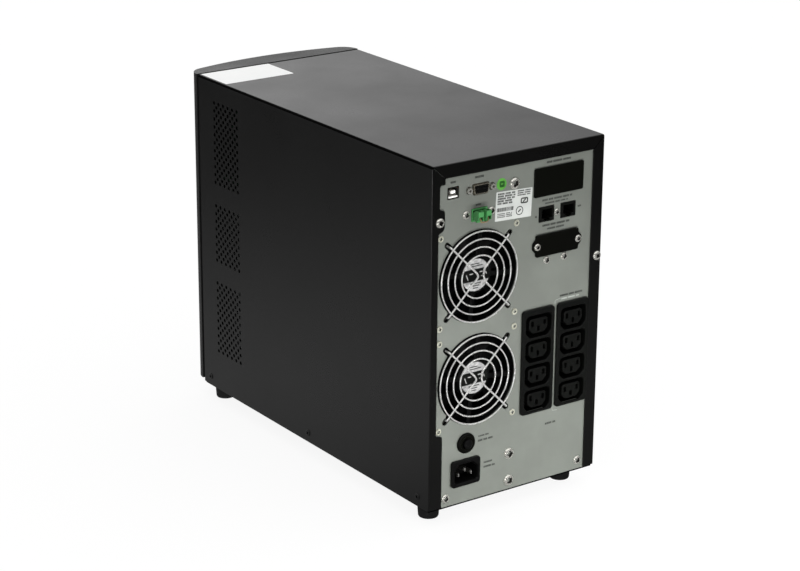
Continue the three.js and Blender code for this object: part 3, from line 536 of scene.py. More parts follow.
def make_metals():
    surface("galvanised_steel", (0.55, 0.57, 0.58), (0.38, 0.40, 0.42), (0.3, 0.5), metal=0.9, mottle=60)
    surface(
        "screw_steel", (0.84, 0.83, 0.77), (0.70, 0.69, 0.63), (0.2, 0.32), metal=0.85, mottle=300,
        grain=5000, stretch=(1, 1, 6),
    )
    # Painted shade: a dark copy of the screw steel, for screw recesses and the guard wires' ends behind the
    # panel.
    surface("painted_shade_steel", (0.02, 0.019, 0.016), (0.008, 0.008, 0.007), (0.4, 0.6), metal=0.3, mottle=300)
    surface(
        "zinc_screw", (0.33, 0.33, 0.27), (0.25, 0.25, 0.20), (0.3, 0.45), metal=0.2, mottle=300, grain=5000
    )
    surface("black_screw", grey(0.006), grey(0.010), (0.3, 0.42), metal=0.3, mottle=200)
    surface(
        "guard_chrome", (0.88, 0.88, 0.86), (0.76, 0.76, 0.74), (0.22, 0.34), metal=0.74, mottle=120,
        grain=3000, depth=0.01,
    )
    surface("pin_nickel", (0.90, 0.89, 0.85), (0.76, 0.75, 0.71), (0.18, 0.3), metal=0.95, mottle=200)
    surface(
        "connector_steel", (0.54, 0.50, 0.41), (0.36, 0.33, 0.26), (0.2, 0.32), metal=0.85, mottle=150,
        grain=4000, stretch=(1, 1, 5),
    )
    # Painted shade: a darkened copy of the connector steel, for the inlet pins' shafts and the USB shell.
    surface("shaded_steel", (0.10, 0.097, 0.088), (0.06, 0.06, 0.054), (0.3, 0.4), metal=0.8, mottle=150)
    surface(
        "heat_sink_aluminium", (0.72, 0.73, 0.74), (0.58, 0.59, 0.6), (0.28, 0.42), metal=1.0, mottle=40,
        stretch=(1, 0.05, 1),
    )
    surface("contact_gold", (0.9, 0.66, 0.25), (0.8, 0.55, 0.2), (0.15, 0.25), metal=1.0, mottle=300)
    surface("link_wire", (0.30, 0.22, 0.12), (0.20, 0.14, 0.07), (0.3, 0.42), metal=0.4, mottle=300)
    surface("winding", (0.55, 0.24, 0.09), (0.38, 0.15, 0.05), (0.3, 0.45), metal=0.6, mottle=60, grain=500)


def make_plastics():
    surface(
        "bezel_plastic", (0.014, 0.014, 0.0137), (0.01, 0.01, 0.0098), (0.38, 0.55), grain=900, depth=0.22
    )
    surface("fan_plastic", grey(0.0018), grey(0.0012), (0.4, 0.55), grain=1200, specular=0.2)
    surface(
        "socket_plastic", (0.0031, 0.0034, 0.0029), (0.0021, 0.0023, 0.0021), (0.32, 0.45), grain=1500,
        specular=0.2,
    )
    surface("cover_plastic", (0.0017, 0.0019, 0.0012), (0.0012, 0.0013, 0.0008), (0.42, 0.55), specular=0.11)
    surface("button_plastic", grey(0.0045), grey(0.003), (0.25, 0.36), grain=1500, specular=0.3)
    surface("green_plastic", (0.058, 0.235, 0.072), (0.038, 0.17, 0.05), (0.2, 0.32), mottle=90, grain=1500)
    surface("window_plastic", (0.008, 0.01, 0.012), (0.006, 0.008, 0.01), (0.06, 0.12), mottle=8, depth=0.004)
    surface("battery_plastic", (0.035, 0.037, 0.04), (0.025, 0.027, 0.03), (0.45, 0.6), grain=1100)
    surface("tongue_plastic", (0.76, 0.76, 0.73), (0.66, 0.66, 0.63), (0.35, 0.45), mottle=300)
    surface("foot_rubber", grey(0.0028), grey(0.0018), (0.6, 0.8), grain=1400, depth=0.06)
    surface("circuit_board", (0.02, 0.13, 0.05), (0.012, 0.085, 0.03), (0.35, 0.5), mottle=160, grain=900)
    surface("capacitor_sleeve", (0.02, 0.025, 0.06), (0.015, 0.02, 0.045), (0.25, 0.35), mottle=40)


def make_labels():
    smooth = {"grain": 2500, "depth": 0.008}
    surface("label_paper", (0.96, 0.96, 0.95), (0.91, 0.915, 0.91), (0.42, 0.55), mottle=18, **smooth)
    surface("label_film", (0.38, 0.38, 0.375), (0.18, 0.18, 0.178), (0.3, 0.42), mottle=320, **smooth)
    surface("label_silver", (0.405, 0.42, 0.40), (0.35, 0.365, 0.35), (0.35, 0.48), mottle=50, **smooth)
    surface("label_green", (0.07, 0.25, 0.035), (0.045, 0.19, 0.022), (0.3, 0.42), mottle=180, grain=2500)
    surface("ink", (0.020, 0.022, 0.019), (0.012, 0.013, 0.012), (0.4, 0.5), mottle=300)
    surface("ink_pale", (0.30, 0.32, 0.295), (0.25, 0.27, 0.245), (0.4, 0.5), mottle=300)
    surface("ink_dark_green", (0.010, 0.075, 0.007), (0.006, 0.055, 0.005), (0.4, 0.5), mottle=300)


# ------------ pieces


def piece(name, bm, material, slot=None, replaces=(), body="root", smooth=35, recess=None):
    """A finished piece: its mesh goes into the row frame, gets its finish, and rides on its body.

    recess is the finish of the faces that are marked with material index 1. Where it differs from the main
    finish it is darker: painted shade, in screw recesses, on bends, on the bezel's neck and on the guard
    wires' hidden ends.
    """
    mesh = as_mesh(name, bm)
    mesh.transform(CASE)
    mesh.shade_smooth()
    mesh.set_sharp_from_angle(angle=math.radians(smooth))
    mesh.materials.append(MATERIALS[material])
    if recess:
        mesh.materials.append(MATERIALS[recess])
    obj = placed(name, mesh)
    obj.modifiers.new("flat", "WEIGHTED_NORMAL").keep_sharp = True
    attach(obj, body)
    if replaces:
        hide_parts(*replaces)


# ------------ case


def vent_holes():
    """One drill across both side walls for each hole: staggered columns, in three blocks."""
    drills = []
    for top, rows in VENT_BLOCKS:
        for column in range(VENT_COLUMNS):
            odd = column % 2
            y = VENT_Y + column * VENT_STEP
            for row in range(rows - odd):
                z = top - row * VENT_PITCH - odd * VENT_PITCH / 2
                drills.append(prism(circle(y, z, VENT_RADIUS, 12), ACROSS, "x"))
    return merged(*drills)


def mitre_slit(outer, inner):
    middle = (Vector(outer) + Vector(inner)) / 2
    along = Vector(inner) - Vector(outer)
    outline = capsule(middle.x, middle.y, along.length, MITRE_WIDTH, math.atan2(along.y, along.x), 2)
    return prism(outline, (-SHEET - 1, 1))


def mark_bends(bm):
    """Marks the rounded bends along the top, apart from the strip that runs into the top itself. The marked
    faces take a near-black matt finish: painted shade on the bends.
    """
    for face in bm.faces:
        at = face.calc_center_median()
        near_edge = abs(at.x) > HALF - TOP_BEND and at.z > HEIGHT - TOP_BEND
        face.material_index = int(near_edge and 0.1 < face.normal.z < 0.9)
    return bm


def on_top_edge(a, b):
    return min(a.z, b.z) > HEIGHT - PLANE_TOLERANCE and abs(a.x + b.x) > 2 * HALF - PLANE_TOLERANCE


def on_flange_edge(a, b):
    return min(a.y, b.y) > -1e-4 and max(a.z, b.z) > 1


def on_inner_corner(a, b):
    return min(a.z, b.z) > 1 and abs(a.x - b.x) < 0.1


def cover_shell():
    """Bent sheet: top, both sides and the rear flange with its window."""
    outer = softened(box((-HALF, HALF), (0.8 - DEPTH, 0), (0, HEIGHT)), TOP_BEND, 4, on_top_edge)
    outer = softened(outer, FLANGE_BEND, 3, on_flange_edge)
    inside = HALF - SHEET
    inner = box((-inside, inside), (-DEPTH - 5, -SHEET), (-5, HEIGHT - SHEET))
    shell = cut(outer, softened(inner, INNER_BEND, 3, on_inner_corner))
    shell = cut(shell, prism(filleted(WINDOW), THROUGH))
    shell = cut(shell, *(mitre_slit(*ends) for ends in MITRES))
    shell = cut(shell, vent_holes())
    holes = [prism(circle(y, z, SCREW_HOLE, 16), ACROSS, "x") for y, z in SIDE_SCREW_HOLES]
    shell = mark_bends(cut(shell, *holes, *cover_screw_holes()))
    piece("cover_shell", shell, "cover_paint", "cover_paint", ["cover"], recess="bend_painted_shade")


def cover_screw_holes():
    return [peg(centre(n).x, centre(n).z, SCREW_HOLE, sides=16) for n in COVER_SCREW_NODES]


def grown(name, by, radius=0.0):
    """A cutter over a CAD node's box seen from behind, grown on each side."""
    at = block(name)
    return plate(at.x, at.z, (at.size[0] + 2 * by, at.size[1] + 2 * by), THROUGH, radius)


def fan_openings(level):
    """A fan's round opening, with two crossed slots for the guard's wires."""
    fan = centre("fan_guard_" + level)
    length = 2 * SLOT_REACH
    slots = [capsule(fan.x, fan.z, length, SLOT_WIDTH, turn) for turn in (QUARTER / 2, -QUARTER / 2)]
    return [peg(fan.x, fan.z, FAN_OPENING, sides=96), *(prism(slot, THROUGH) for slot in slots)]


def window(name, size, radius=0.0):
    """A cutter of a given size through the panel, behind a CAD node."""
    at = centre(name)
    return plate(at.x, at.z, size, THROUGH, radius)


def rear_panel():
    sheet = plate(0, PANEL.z, PANEL.size, (PANEL_BACK, PANEL_FACE), 1.0)
    for level in LEVELS:
        for opening in fan_openings(level):
            sheet = cut(sheet, opening)
    serial, breaker_at = centre("serial_port"), centre("breaker_body")
    windows = [
        grown("usb_port", 0.1, 0.5),
        prism(d_shape(serial.x, serial.z, (19.2, 10.6), 1.8), THROUGH),
        window("epo_plug", (17.6, 12.2), 0.6),
        *(grown(name, 0.35) for name in JACK_NODES),
        *(grown(name, -2.0) for name in STRIP_NODES),
        *(window(name, size) for name, size in COVERED_OPENINGS.items()),
        peg(breaker_at.x, breaker_at.z, 8.0),
        *(peg(serial.x + dx, serial.z, 3.5, sides=20) for _, dx in JACK_NUTS),
        *cover_screw_holes(),
    ]
    piece("panel_sheet", cut(sheet, *windows), "panel_steel", "panel_steel", ["rear_panel"])


def chassis_hem():
    """The base's turned-down rear edge, just below the panel. Its near-black matt finish is painted shade,
    for the shade line under the panel.
    """
    side = PANEL.size[0] / 2
    hem = box((-side, side), (BEHIND_PANEL - SHEET, PANEL_FACE - 0.2), (-2.3, -0.9))
    piece("chassis_hem", softened(hem, 0.25), "bend_painted_shade", "cover_paint")


def foot(name):
    """A tapered rubber foot, hollow up to the bolt that holds it."""
    low, high = case_box(name)
    at = centre(name)
    top, bottom, wide = high.z, low.z, (high.x - low.x) / 2
    narrow, hollow, seat = wide - 1.1, 4.6, bottom + 6
    profile = [
        (0, seat), (hollow, seat), (hollow + 0.3, bottom + 0.6), (hollow + 0.9, bottom),
        (narrow - 1.6, bottom), (narrow - 0.5, bottom + 0.4), (narrow, bottom + 1.4), (wide - 0.2, top - 3.2),
        (wide, top - 2.6), (wide, top - 0.4), (wide - 0.4, top), (0, top),
    ]
    rubber = turned(profile, (at.x, at.y, 0), "z", 40)
    piece(name + "_rubber", rubber, "foot_rubber", "foot_rubber", [name])
    downwards = Matrix.Translation((at.x, at.y, seat)) @ Matrix.Rotation(-QUARTER, 4, "X")
    steel_screw(name + "_bolt", phillips(4.0, 1.8), downwards)


# ------------ screws


def phillips(radius, height, reach=0.7, flat=False, broad=0.46):
    """A cross-recess head about Y, seated at y = 0 and facing +Y, with a short piece of its shank.

    The recess's faces get material index 1, for a darker finish: painted shade.
    """
    rim, rise, shank = 0.2, 0.8, radius * 0.45
    crown = [(radius * math.cos(a), height * (rim + rise * math.sin(a))) for a in (0.35, 0.7, 1.05, 1.3)]
    if flat:
        crown = [(radius * 0.93, height * 0.75), (radius * 0.8, height)]
    edge = [(radius, 0), (radius, height * rim)]
    head = turned([(0, -SHANK), (shank, -SHANK), (shank, 0), *edge, *crown, (0, height)])
    arm, width = radius * reach, radius * broad
    low, high = height - radius * 0.75, height + 0.5
    for turn in (0, QUARTER):
        inner = capsule(0, 0, arm, width * 0.6, turn, 2)
        outer = capsule(0, 0, arm * 2, width * 1.15, turn, 2)
        head = cut(head, loft([(inner, low), (outer, high)]))
    for face in head.faces:
        middle = face.calc_center_median()
        out = middle.xz.length
        skin = height if flat else height * (rim + rise * math.sqrt(max(0.0, 1 - (out / radius) ** 2)))
        if out < arm * 1.02 and middle.y < skin - 0.09 * height - 0.02:
            face.material_index = 1
    return head


def facing(x, y, z, spin=0.0):
    """Places a part built about Y on the rear, turned about its own axis."""
    return Matrix.Translation((x, y, z)) @ Matrix.Rotation(spin, 4, "Y")


def steel_screw(name, head, place, replaces=()):
    moved(head, place)
    piece(name, head, "screw_steel", "screw_steel", replaces, recess="painted_shade_steel")


def panel_screws():
    draw = random.Random(5)
    for name, x, z, radius in PANEL_SCREWS:
        head = phillips(radius, radius * 0.55, 0.78, broad=0.56)
        steel_screw(name, head, facing(x, PANEL_FACE, z, draw.uniform(0, QUARTER)))
    port = block("battery_port_cover")
    for name, dx in PORT_SCREWS:
        steel_screw(name, phillips(3.3, 1.8), facing(port.x + dx, port.face, port.z, 0.4))
    for name, turn in zip(COVER_SCREW_NODES, COVER_SCREW_TURNS):
        at, seat = block(name), 0.2
        head = phillips(at.size[0] / 2, at.face - seat - 0.05)
        steel_screw(name + "_head", head, facing(at.x, seat, at.z, turn), [name])


def side_screws():
    for side, sign in (("left", -1), ("right", 1)):
        for place, turn in SIDE_SCREW_TURNS:
            name = f"side_screw_{side}_{place}"
            at = centre(name)
            head = moved(phillips(3.2, 0.8, flat=True, broad=0.34), Matrix.Rotation(turn, 4, "Y"))
            moved(head, Matrix.Rotation(-sign * QUARTER, 4, "Z"))
            moved(head, Matrix.Translation((sign * (HALF + 0.05), at.y, at.z)))
            piece(name + "_head", head, "black_screw", "black_screw", [name], recess="black_screw")


# ------------ fans


def arc_path(points, radius, steps=5):
    """A path in space with its inner corners rounded."""
    path = [Vector(points[0])]
    for before, here, after in zip(points, points[1:], points[2:]):
        here = Vector(here)
        back, on = (Vector(before) - here), (Vector(after) - here)
        reach = min(radius, back.length * 0.45, on.length * 0.45)
        start, end = here + back.normalized() * reach, here + on.normalized() * reach
        for k in range(steps + 1):
            t = k / steps
            path.append(start * (1 - t) ** 2 + here * 2 * t * (1 - t) + end * t**2)
    path.append(Vector(points[-1]))
    return path


def guard_wire(sign):
    """One bent wire: in from its eyelet in front of the rings, round near the middle, and out behind them."""
    clamp = BEHIND_PANEL - WIRE
    front, back = RING_Y + SPOKE_RISE, RING_Y - SPOKE_RISE
    apex, tail = APEX[sign], EYELET - EYELET_RADIUS
    legs = [(tail, clamp), (SLOT_BEND, clamp), (SLOT_BEND, front), (apex + 4, front)]
    returning = [(apex + 4, back), (SLOT_BEND, back), (SLOT_BEND, clamp), (tail, clamp)]
    points = [on_diagonal(sign, sign, radius, y) for radius, y in legs]
    points.append(Vector((sign * apex * 0.9, RING_Y, 0)))
    points += [on_diagonal(sign, -sign, radius, y) for radius, y in returning]
    return tube(arc_path(points, 2.4), SPOKE_WIRE)


def on_diagonal(i, k, radius, y):
    """The point at a radius from the fan's middle, towards one of its four corners."""
    return Vector((i * radius * math.sqrt(0.5), y, k * radius * math.sqrt(0.5)))


def fan_guard(level):
    """Four rings, two bent wires that cross them, and the four eyelets in which these end."""
    name = "fan_guard_" + level
    hub = centre(name)
    guard = merged(*(hoop(radius, WIRE, (0, RING_Y, 0)) for radius in RINGS))
    for sign in (1, -1):
        guard = joined(guard, guard_wire(sign))
    for i, k in ((1, 1), (1, -1), (-1, 1), (-1, -1)):
        at = on_diagonal(i, k, EYELET, BEHIND_PANEL - WIRE)
        guard = joined(guard, hoop(EYELET_RADIUS, WIRE, at, 24, 8))
    # Painted shade: the wire ends behind the panel get the dark steel finish, for the shade they lie in.
    for face in guard.faces:
        face.material_index = int(face.calc_center_median().y < PANEL_BACK)
    moved(guard, Matrix.Translation((hub.x, 0, hub.z)))
    finishes = {"material": "guard_chrome", "slot": "guard_chrome", "recess": "painted_shade_steel"}
    piece(name + "_wires", guard, replaces=[name], smooth=50, **finishes)


def fan_frame(level):
    """A round barrel between two square flanges, with crossed struts that carry the motor."""
    name = "fan_frame_" + level
    at = block(name)
    depth = at.face - at.back
    flare, straight = BARREL + 1.2, 3
    body = turned([
        (BARREL_WALL, -depth), (BARREL_WALL, 0), (flare, 0), (BARREL, -straight), (BARREL, straight - depth),
        (flare, -depth), (BARREL_WALL, -depth),
    ], sides=96)
    inside = (-40, 5)
    for span in ((-depth, FRAME_WALL - depth), (-FRAME_WALL, 0.0)):
        flange = softened(plate(0, 0, (at.size[0], at.size[0]), span, 5), 0.4, 1)
        holes = [peg(i * FAN_HOLE, k * FAN_HOLE, 2.2, inside, 16) for i in (-1, 1) for k in (-1, 1)]
        body = joined(body, cut(flange, peg(0, 0, BARREL_WALL - 0.2, inside, 96), *holes))
    for turn in (0.12, 0.12 + QUARTER):
        strut = prism(capsule(0, 0, 2 * BARREL + 2, 4.4, turn, 3), (-3.4, -0.3))
        body = joined(body, softened(strut, 0.5, 1))
    motor = [(0, -4), (HUB, -4), (HUB, -0.9), (HUB - 0.6, -0.2), (HUB - 1.2, 0), (0, 0)]
    body = joined(body, turned(motor, sides=64))
    place = Matrix.Translation((at.x, at.face, at.z))
    piece(name + "_moulding", moved(body, place), "fan_plastic", "fan_plastic", [name])
    hub_label(level, place)


def hub_marks(marks, span):
    return merged(*(prism(capsule(x, z, length, 0.9, turn, 3), span) for x, z, length, turn in marks))


def hub_label(level, place):
    """The stator's round label: bright film with a plain dark band and plain dashes."""
    film = turned([(0, -0.05), (LABEL_RADIUS, -0.05), (LABEL_RADIUS, 0.06), (0, 0.06)], sides=64)
    piece("fan_label_" + level, moved(film, place), "label_film")
    reach = math.sqrt(LABEL_RADIUS**2 - LABEL_BAND**2)
    edge = math.asin(LABEL_BAND / LABEL_RADIUS)
    angles = (-edge, -edge / 2, 0, edge / 2, edge)
    right = [(LABEL_RADIUS * math.cos(a), LABEL_RADIUS * math.sin(a)) for a in angles]
    band = [(-reach, -LABEL_BAND), *right, (-reach, LABEL_BAND), *[(-u, -v) for u, v in right[1:-1]]]
    piece("fan_label_band_" + level, moved(prism(band, (0.0, 0.1)), place), "socket_plastic")
    dark = hub_marks([(*mark, 0.0) for mark in HUB_DARK_MARKS], (0.05, 0.14))
    piece("fan_label_dark_marks_" + level, moved(dark, place), "ink")
    pale = hub_marks(HUB_PALE_MARKS, (0.05, 0.16))
    piece("fan_label_pale_marks_" + level, moved(pale, place), "label_film")


def fan_blade(turn, hub, tip, chords=6, spans=6):
    """One swept, cambered blade as a closed skin."""
    bm = bmesh.new()
    sheets = []
    root = hub - 0.6
    for side in (-BLADE_THICK, BLADE_THICK):
        rows = []
        for j in range(spans + 1):
            t = j / spans
            radius = root + (tip - root) * t
            row = []
            for i in range(chords + 1):
                s = i / chords - 0.5
                angle = turn + s * (0.84 - 0.12 * t) + 0.34 * t * t
                y = -14.2 + 15.5 * s * (1 - 0.12 * t) - 3.0 * (0.25 - s * s) + side
                row.append(bm.verts.new((radius * math.cos(angle), y, radius * math.sin(angle))))
            rows.append(row)
        sheets.append(rows)
    for rows in sheets:
        for low, high in zip(rows, rows[1:]):
            for i in range(chords):
                bm.faces.new((low[i], low[i + 1], high[i + 1], high[i]))
    under, over = sheets
    rim = [(0, i) for i in range(chords)] + [(j, chords) for j in range(spans)]
    rim += [(spans, i) for i in range(chords, 0, -1)] + [(j, 0) for j in range(spans, 0, -1)]
    for (j, i), (m, k) in zip(rim, rim[1:] + rim[:1]):
        bm.faces.new((under[j][i], under[m][k], over[m][k], over[j][i]))
    bmesh.ops.recalc_face_normals(bm, faces=bm.faces)
    return bm


def fan_rotor(level):
    """The hub's cup and its swept blades."""
    name = "fan_rotor_" + level
    low, high = case_box(name)
    axis, tip = centre(name), (high.z - low.z) / 2
    back, front, shaft = -23, -5, 3.0
    floor_y, lip, axle = back + 2, HUB - 2.2, front - 2
    rotor = turned([
        (0, back), (HUB - 2, back), (HUB - 0.6, back + 0.6), (HUB, floor_y), (HUB, front), (lip, front),
        (lip, floor_y), (shaft, floor_y), (shaft, axle), (0, axle),
    ], sides=64)
    for k in range(BLADES):
        rotor = joined(rotor, fan_blade(TURN * k / BLADES, HUB, tip - 0.2))
    moved(rotor, Matrix.Translation((axis.x, block("fan_frame_" + level).face, axis.z)))
    piece(name + "_impeller", rotor, "fan_plastic", "fan_plastic", [name], name, 40)


def fan_screws(level):
    draw = random.Random(level)
    hub = centre("fan_guard_" + level)
    for i, k, place in ((1, 1, "a"), (-1, 1, "b"), (1, -1, "c"), (-1, -1, "d")):
        head = phillips(3.1, 0.8, 0.6, flat=True, broad=1.0)
        moved(head, facing(hub.x + i * FAN_HOLE, PANEL_FACE, hub.z + k * FAN_HOLE, draw.uniform(0, 1.5)))
        # The recess takes the near-black fan plastic: painted shade.
        piece(f"fan_screw_{level}_{place}", head, "zinc_screw", "screw_steel", recess="fan_plastic")


# ------------ power connectors


def outlet_island(x, z, face):
    """The raised block in an outlet's well."""
    base, crown = coupler(x, z, (20.8, 13.8), 4.0, -1, 2.6), coupler(x, z, (20.0, 13.0), 3.8, -1, 2.2)
    return loft([(base, face - OUTLET_DEPTH - 1), (base, face - 1.1), (crown, face - 0.6)])


def outlet_well(x, z, face):
    """A cutter for the space round an outlet's island."""
    well, lip = coupler(x, z, (29.3, 21.3), 5.2, -1, 4.2), coupler(x, z, (29.9, 21.9), 5.3, -1, 4.5)
    return loft([(well, face - OUTLET_DEPTH), (well, face - 0.3), (lip, face + 0.05)])


def outlet_slot(x, z, top):
    """A cutter for one pin's slot, with its mouth widened a little."""
    inner, outer = rectangle(x, z, (2.5, 4.8), 0.3, 1), rectangle(x, z, (3.1, 5.4), 0.5, 1)
    return loft([(inner, top - 12), (inner, top - 0.4), (outer, top + 0.05)])


def outlet_strip(name):
    """Four outlets in one moulding."""
    at = block(name)
    body = plate(at.x, at.z, (at.size[0] - 3.6, at.size[1] - 4.6), (at.back, ON_PANEL + 1))
    wells = [outlet_well(at.x, row, at.face) for row in OUTLET_ROWS]
    islands = [outlet_island(at.x, row, at.face) for row in OUTLET_ROWS]
    strip = cut(joined(fronted(at, 3.0, 0.7), body), *wells)
    strip = joined(strip, merged(*islands))
    slots = [
        outlet_slot(at.x + dx, row + dz, at.face - 0.6) for row in OUTLET_ROWS for dx, dz in OUTLET_SLOTS
    ]
    piece(name + "_moulding", cut(strip, *slots), "socket_plastic", "socket_plastic", [name])


def inlet_pin(name):
    """A flat pin with a tapered tip. Its shaft, deep in the well, has a darkened steel finish: painted shade.
    """
    at = block(name)
    blade, tip = rectangle(at.x, at.z, (2, 4), 0.3, 2), rectangle(at.x, at.z, (1.0, 2.9), 0.2, 2)
    taper = 1.2
    pin = loft([(blade, at.back), (blade, at.face - taper), (tip, at.face)])
    for face in pin.faces:
        face.material_index = int(face.calc_center_median().y < at.face - taper - 0.1)
    piece(name + "_blade", pin, "pin_nickel", "pin_nickel", [name], recess="shaded_steel")


def inlet_socket():
    at = block("inlet_socket")
    depth = 16
    body = plate(at.x, at.z, (27.6, 20.2), (at.back, ON_PANEL + 1), 0.6)
    well, lip = coupler(at.x, at.z, (24.4, 16.8), 4.6, 1, 1.6), coupler(at.x, at.z, (26.6, 19.0), 5.0, 1, 2.4)
    hollow = loft([(well, at.face - depth), (well, at.face - 1.6), (lip, at.face + 0.05)])
    behind = (at.back - 1, at.face - depth + 1)
    pin_holes = [plate(centre(pin).x, centre(pin).z, (2.5, 4.5), behind) for pin in PIN_NODES]
    socket = cut(cut(joined(fronted(at, 2.6, 0.9), body), hollow), *pin_holes)
    piece("inlet_socket_moulding", socket, "fan_plastic", "socket_plastic", ["inlet_socket"])
    for pin in PIN_NODES:
        inlet_pin(pin)


def breaker():
    """A round nut with a collar, and the domed button in its bore."""
    body = block("breaker_body")
    low, high = case_box("breaker_button")
    at = centre("breaker_button")
    place = (at.x, 0, at.z)
    bore, neck, nut, floor_y = 4.95, 7.6, body.size[0] / 2, body.back + 4
    collar = turned([
        (bore, floor_y), (neck, floor_y), (neck, ON_PANEL), (nut, ON_PANEL), (nut, body.face - 1.6),
        (nut - 0.5, body.face - 0.7), (nut - 1.7, body.face), (neck - 0.2, body.face),
        (neck - 0.7, body.face - 0.5), (bore + 0.4, body.face - 0.5), (bore, body.face - 0.9),
        (bore, floor_y),
    ], place, sides=64)
    tail = plate(at.x, at.z, (16, 12), (body.back, body.back + 6), 0.6)
    collar = joined(collar, tail)
    piece("breaker_collar", collar, "cover_plastic", "socket_plastic", ["breaker_body"])
    wide, top = 4.6, high.y
    cap = turned([
        (0, low.y), (wide, low.y), (wide, top - 1.4), (wide - 0.3, top - 0.6), (wide - 1.0, top - 0.15),
        (wide - 2.0, top - 0.25), (0, top - 0.5),
    ], place, sides=48)
    piece("breaker_cap", cap, "fan_plastic", "button_plastic", ["breaker_button"], "breaker_button")


# ------------ signal connectors


def usb_port():
    """A shell with its two lower corners cut off, a tongue with four contacts, and a ledge below it."""
    port, face = block("usb_port"), PANEL_FACE - 0.1
    x, z, tongue_x = port.x, port.z, port.x - 0.2
    shell = prism(coupler(x, z, (11.0, 9.8), 2.0, 1, 0.5), (port.back, face))
    shell = cut(shell, prism(coupler(x, z, (10.2, 9.0), 1.8, 1, 0.4), (face - 10, face + 1)))
    # The shell takes the darkened steel finish: painted shade.
    piece("usb_shell", shell, "shaded_steel", "connector_steel", ["usb_port"])
    tongue = plate(tongue_x, z + 0.6, (5.0, 2.8), (face - 11, face - 0.6), 0.3)
    piece("usb_tongue", softened(tongue, 0.3), "tongue_plastic")
    # The ledge is pale plastic in place of the shell's lit bottom wall: a painted highlight.
    ledge = plate(x - 0.1, z - 3.6, (9.2, 1.3), (face - 9, face - 0.2), 0.3)
    piece("usb_ledge", ledge, "tongue_plastic", "connector_steel")
    strips = []
    for middle in (tongue_x - 1.25, tongue_x + 1.25):
        for low in (z + 1.94, z - 0.9):
            strips.append(box((middle - 0.5, middle + 0.5), (face - 8, face - 1.4), (low, low + 0.16)))
    piece("usb_contacts", merged(*strips), "contact_gold", "pin_nickel")


def serial_port():
    """A D-shaped hood on a flange, its insulator with nine holes, and the two jack nuts."""
    port = block("serial_port")
    x, z, face, seat = port.x, port.z, port.face - 0.5, BEHIND_PANEL
    flange = softened(plate(x, z, (30.8, 12.4), (seat - 1, seat), 1.0), 0.2, 1)
    hood = softened(prism(d_shape(x, z, (17.2, 8.6), 1.6), (seat - 0.5, face)), 0.35, 2, on_rear(face))
    shell = cut(joined(flange, hood), prism(d_shape(x, z, (16.0, 7.4), 1.3), (face - 5.5, face + 1)))
    piece("serial_shell", shell, "connector_steel", "connector_steel", ["serial_port"])
    insulator = prism(d_shape(x, z, (15.9, 7.3), 1.3), (port.back, face - 0.5))
    holes = []
    for count, dz in ((5, SERIAL_ROW), (4, -SERIAL_ROW)):
        for i in range(count):
            dx = SERIAL_PITCH * (i - (count - 1) / 2)
            holes.append(peg(x + dx, z + dz, SERIAL_HOLE, (face - 4, face + 1), 12))
    piece("serial_insulator", cut(insulator, *holes), "socket_plastic", "socket_plastic")
    for name, dx in JACK_NUTS:
        nut = softened(peg(x + dx, z, 2.85, (seat - 1, port.face), 6), 0.25)
        nut = cut(nut, peg(x + dx, z, 1.25, (seat, face + 1), 16))
        piece(name, nut, "screw_steel", "connector_steel")


def epo_header():
    at = centre("epo_plug")
    back = block("epo_header").back
    header = plate(at.x, at.z, (17, 11.6), (back, PANEL_FACE + 0.3), 0.5)
    flange = plate(at.x, at.z, (36, 9.6), (BEHIND_PANEL - 1.6, BEHIND_PANEL), 1.2)
    header = joined(header, softened(flange, 0.2, 1))
    header = cut(header, plate(at.x, at.z, (14.6, 8.6), (back + 2, PANEL_FACE + 2), 0.3))
    piece("epo_socket", header, "green_plastic", "green_plastic", ["epo_header"])


def epo_plug():
    """A two-way screw terminal: a tapered grip with a nose, a wire entry and a screw hole at each pole."""
    at, back, face = centre("epo_plug"), block("epo_header").back, block("epo_plug").face
    x, z, poles = at.x, at.z, (-EPO_POLE, EPO_POLE)
    thin, thick = rectangle(x, z, (14.4, 5.0), 0.5), rectangle(x, z, (14.4, 10.4), 0.5)
    grip = loft([(thin, PANEL_FACE + 0.5), (thick, PANEL_FACE + 4.2), (thick, face - 2.2)])
    plug = joined(softened(grip, 0.35), plate(x, z, (13.8, 4.8), (back + 3, PANEL_FACE + 1.5), 0.2))
    for dx in poles:
        plug = joined(plug, softened(plate(x + dx, z + 0.6, (5.8, 8.4), (face - 3, face), 0.6), 0.5))
    entries = [plate(x + dx, z + EPO_ENTRY, (4.0, 3.4), (face - 7, face + 1), 0.4) for dx in poles]
    plug = cut(plug, *entries)
    plug = cut(plug, plate(x, z, (2.6, 12), (face - 5.5, face + 1)))
    screw_hole = [(0, 0), (1.9, 0), (1.9, 4), (0, 4)]
    plug = cut(plug, *(turned(screw_hole, (x + dx, face - 2.9, z + 2.2), "z", 20) for dx in poles))
    piece("epo_plug_grip", plug, "green_plastic", "green_plastic", ["epo_plug"], "epo_plug")


def epo_link():
    """The wire that joins the plug's two poles."""
    at, face = centre("epo_plug"), block("epo_plug").face
    entry, loop, bend = at.z + EPO_ENTRY, at.z - 5.2, EPO_POLE - 0.7
    inside, out = face - 5, face - 0.9
    half = [(-EPO_POLE, inside, entry), (-EPO_POLE, out, entry), (-bend, out, loop)]
    path = [(at.x + dx, y, z) for dx, y, z in half]
    path += [(at.x - dx, y, z) for dx, y, z in reversed(half)]
    piece("epo_link", tube(arc_path(path, 1.6), 0.6, 12), "link_wire", body="epo_plug")


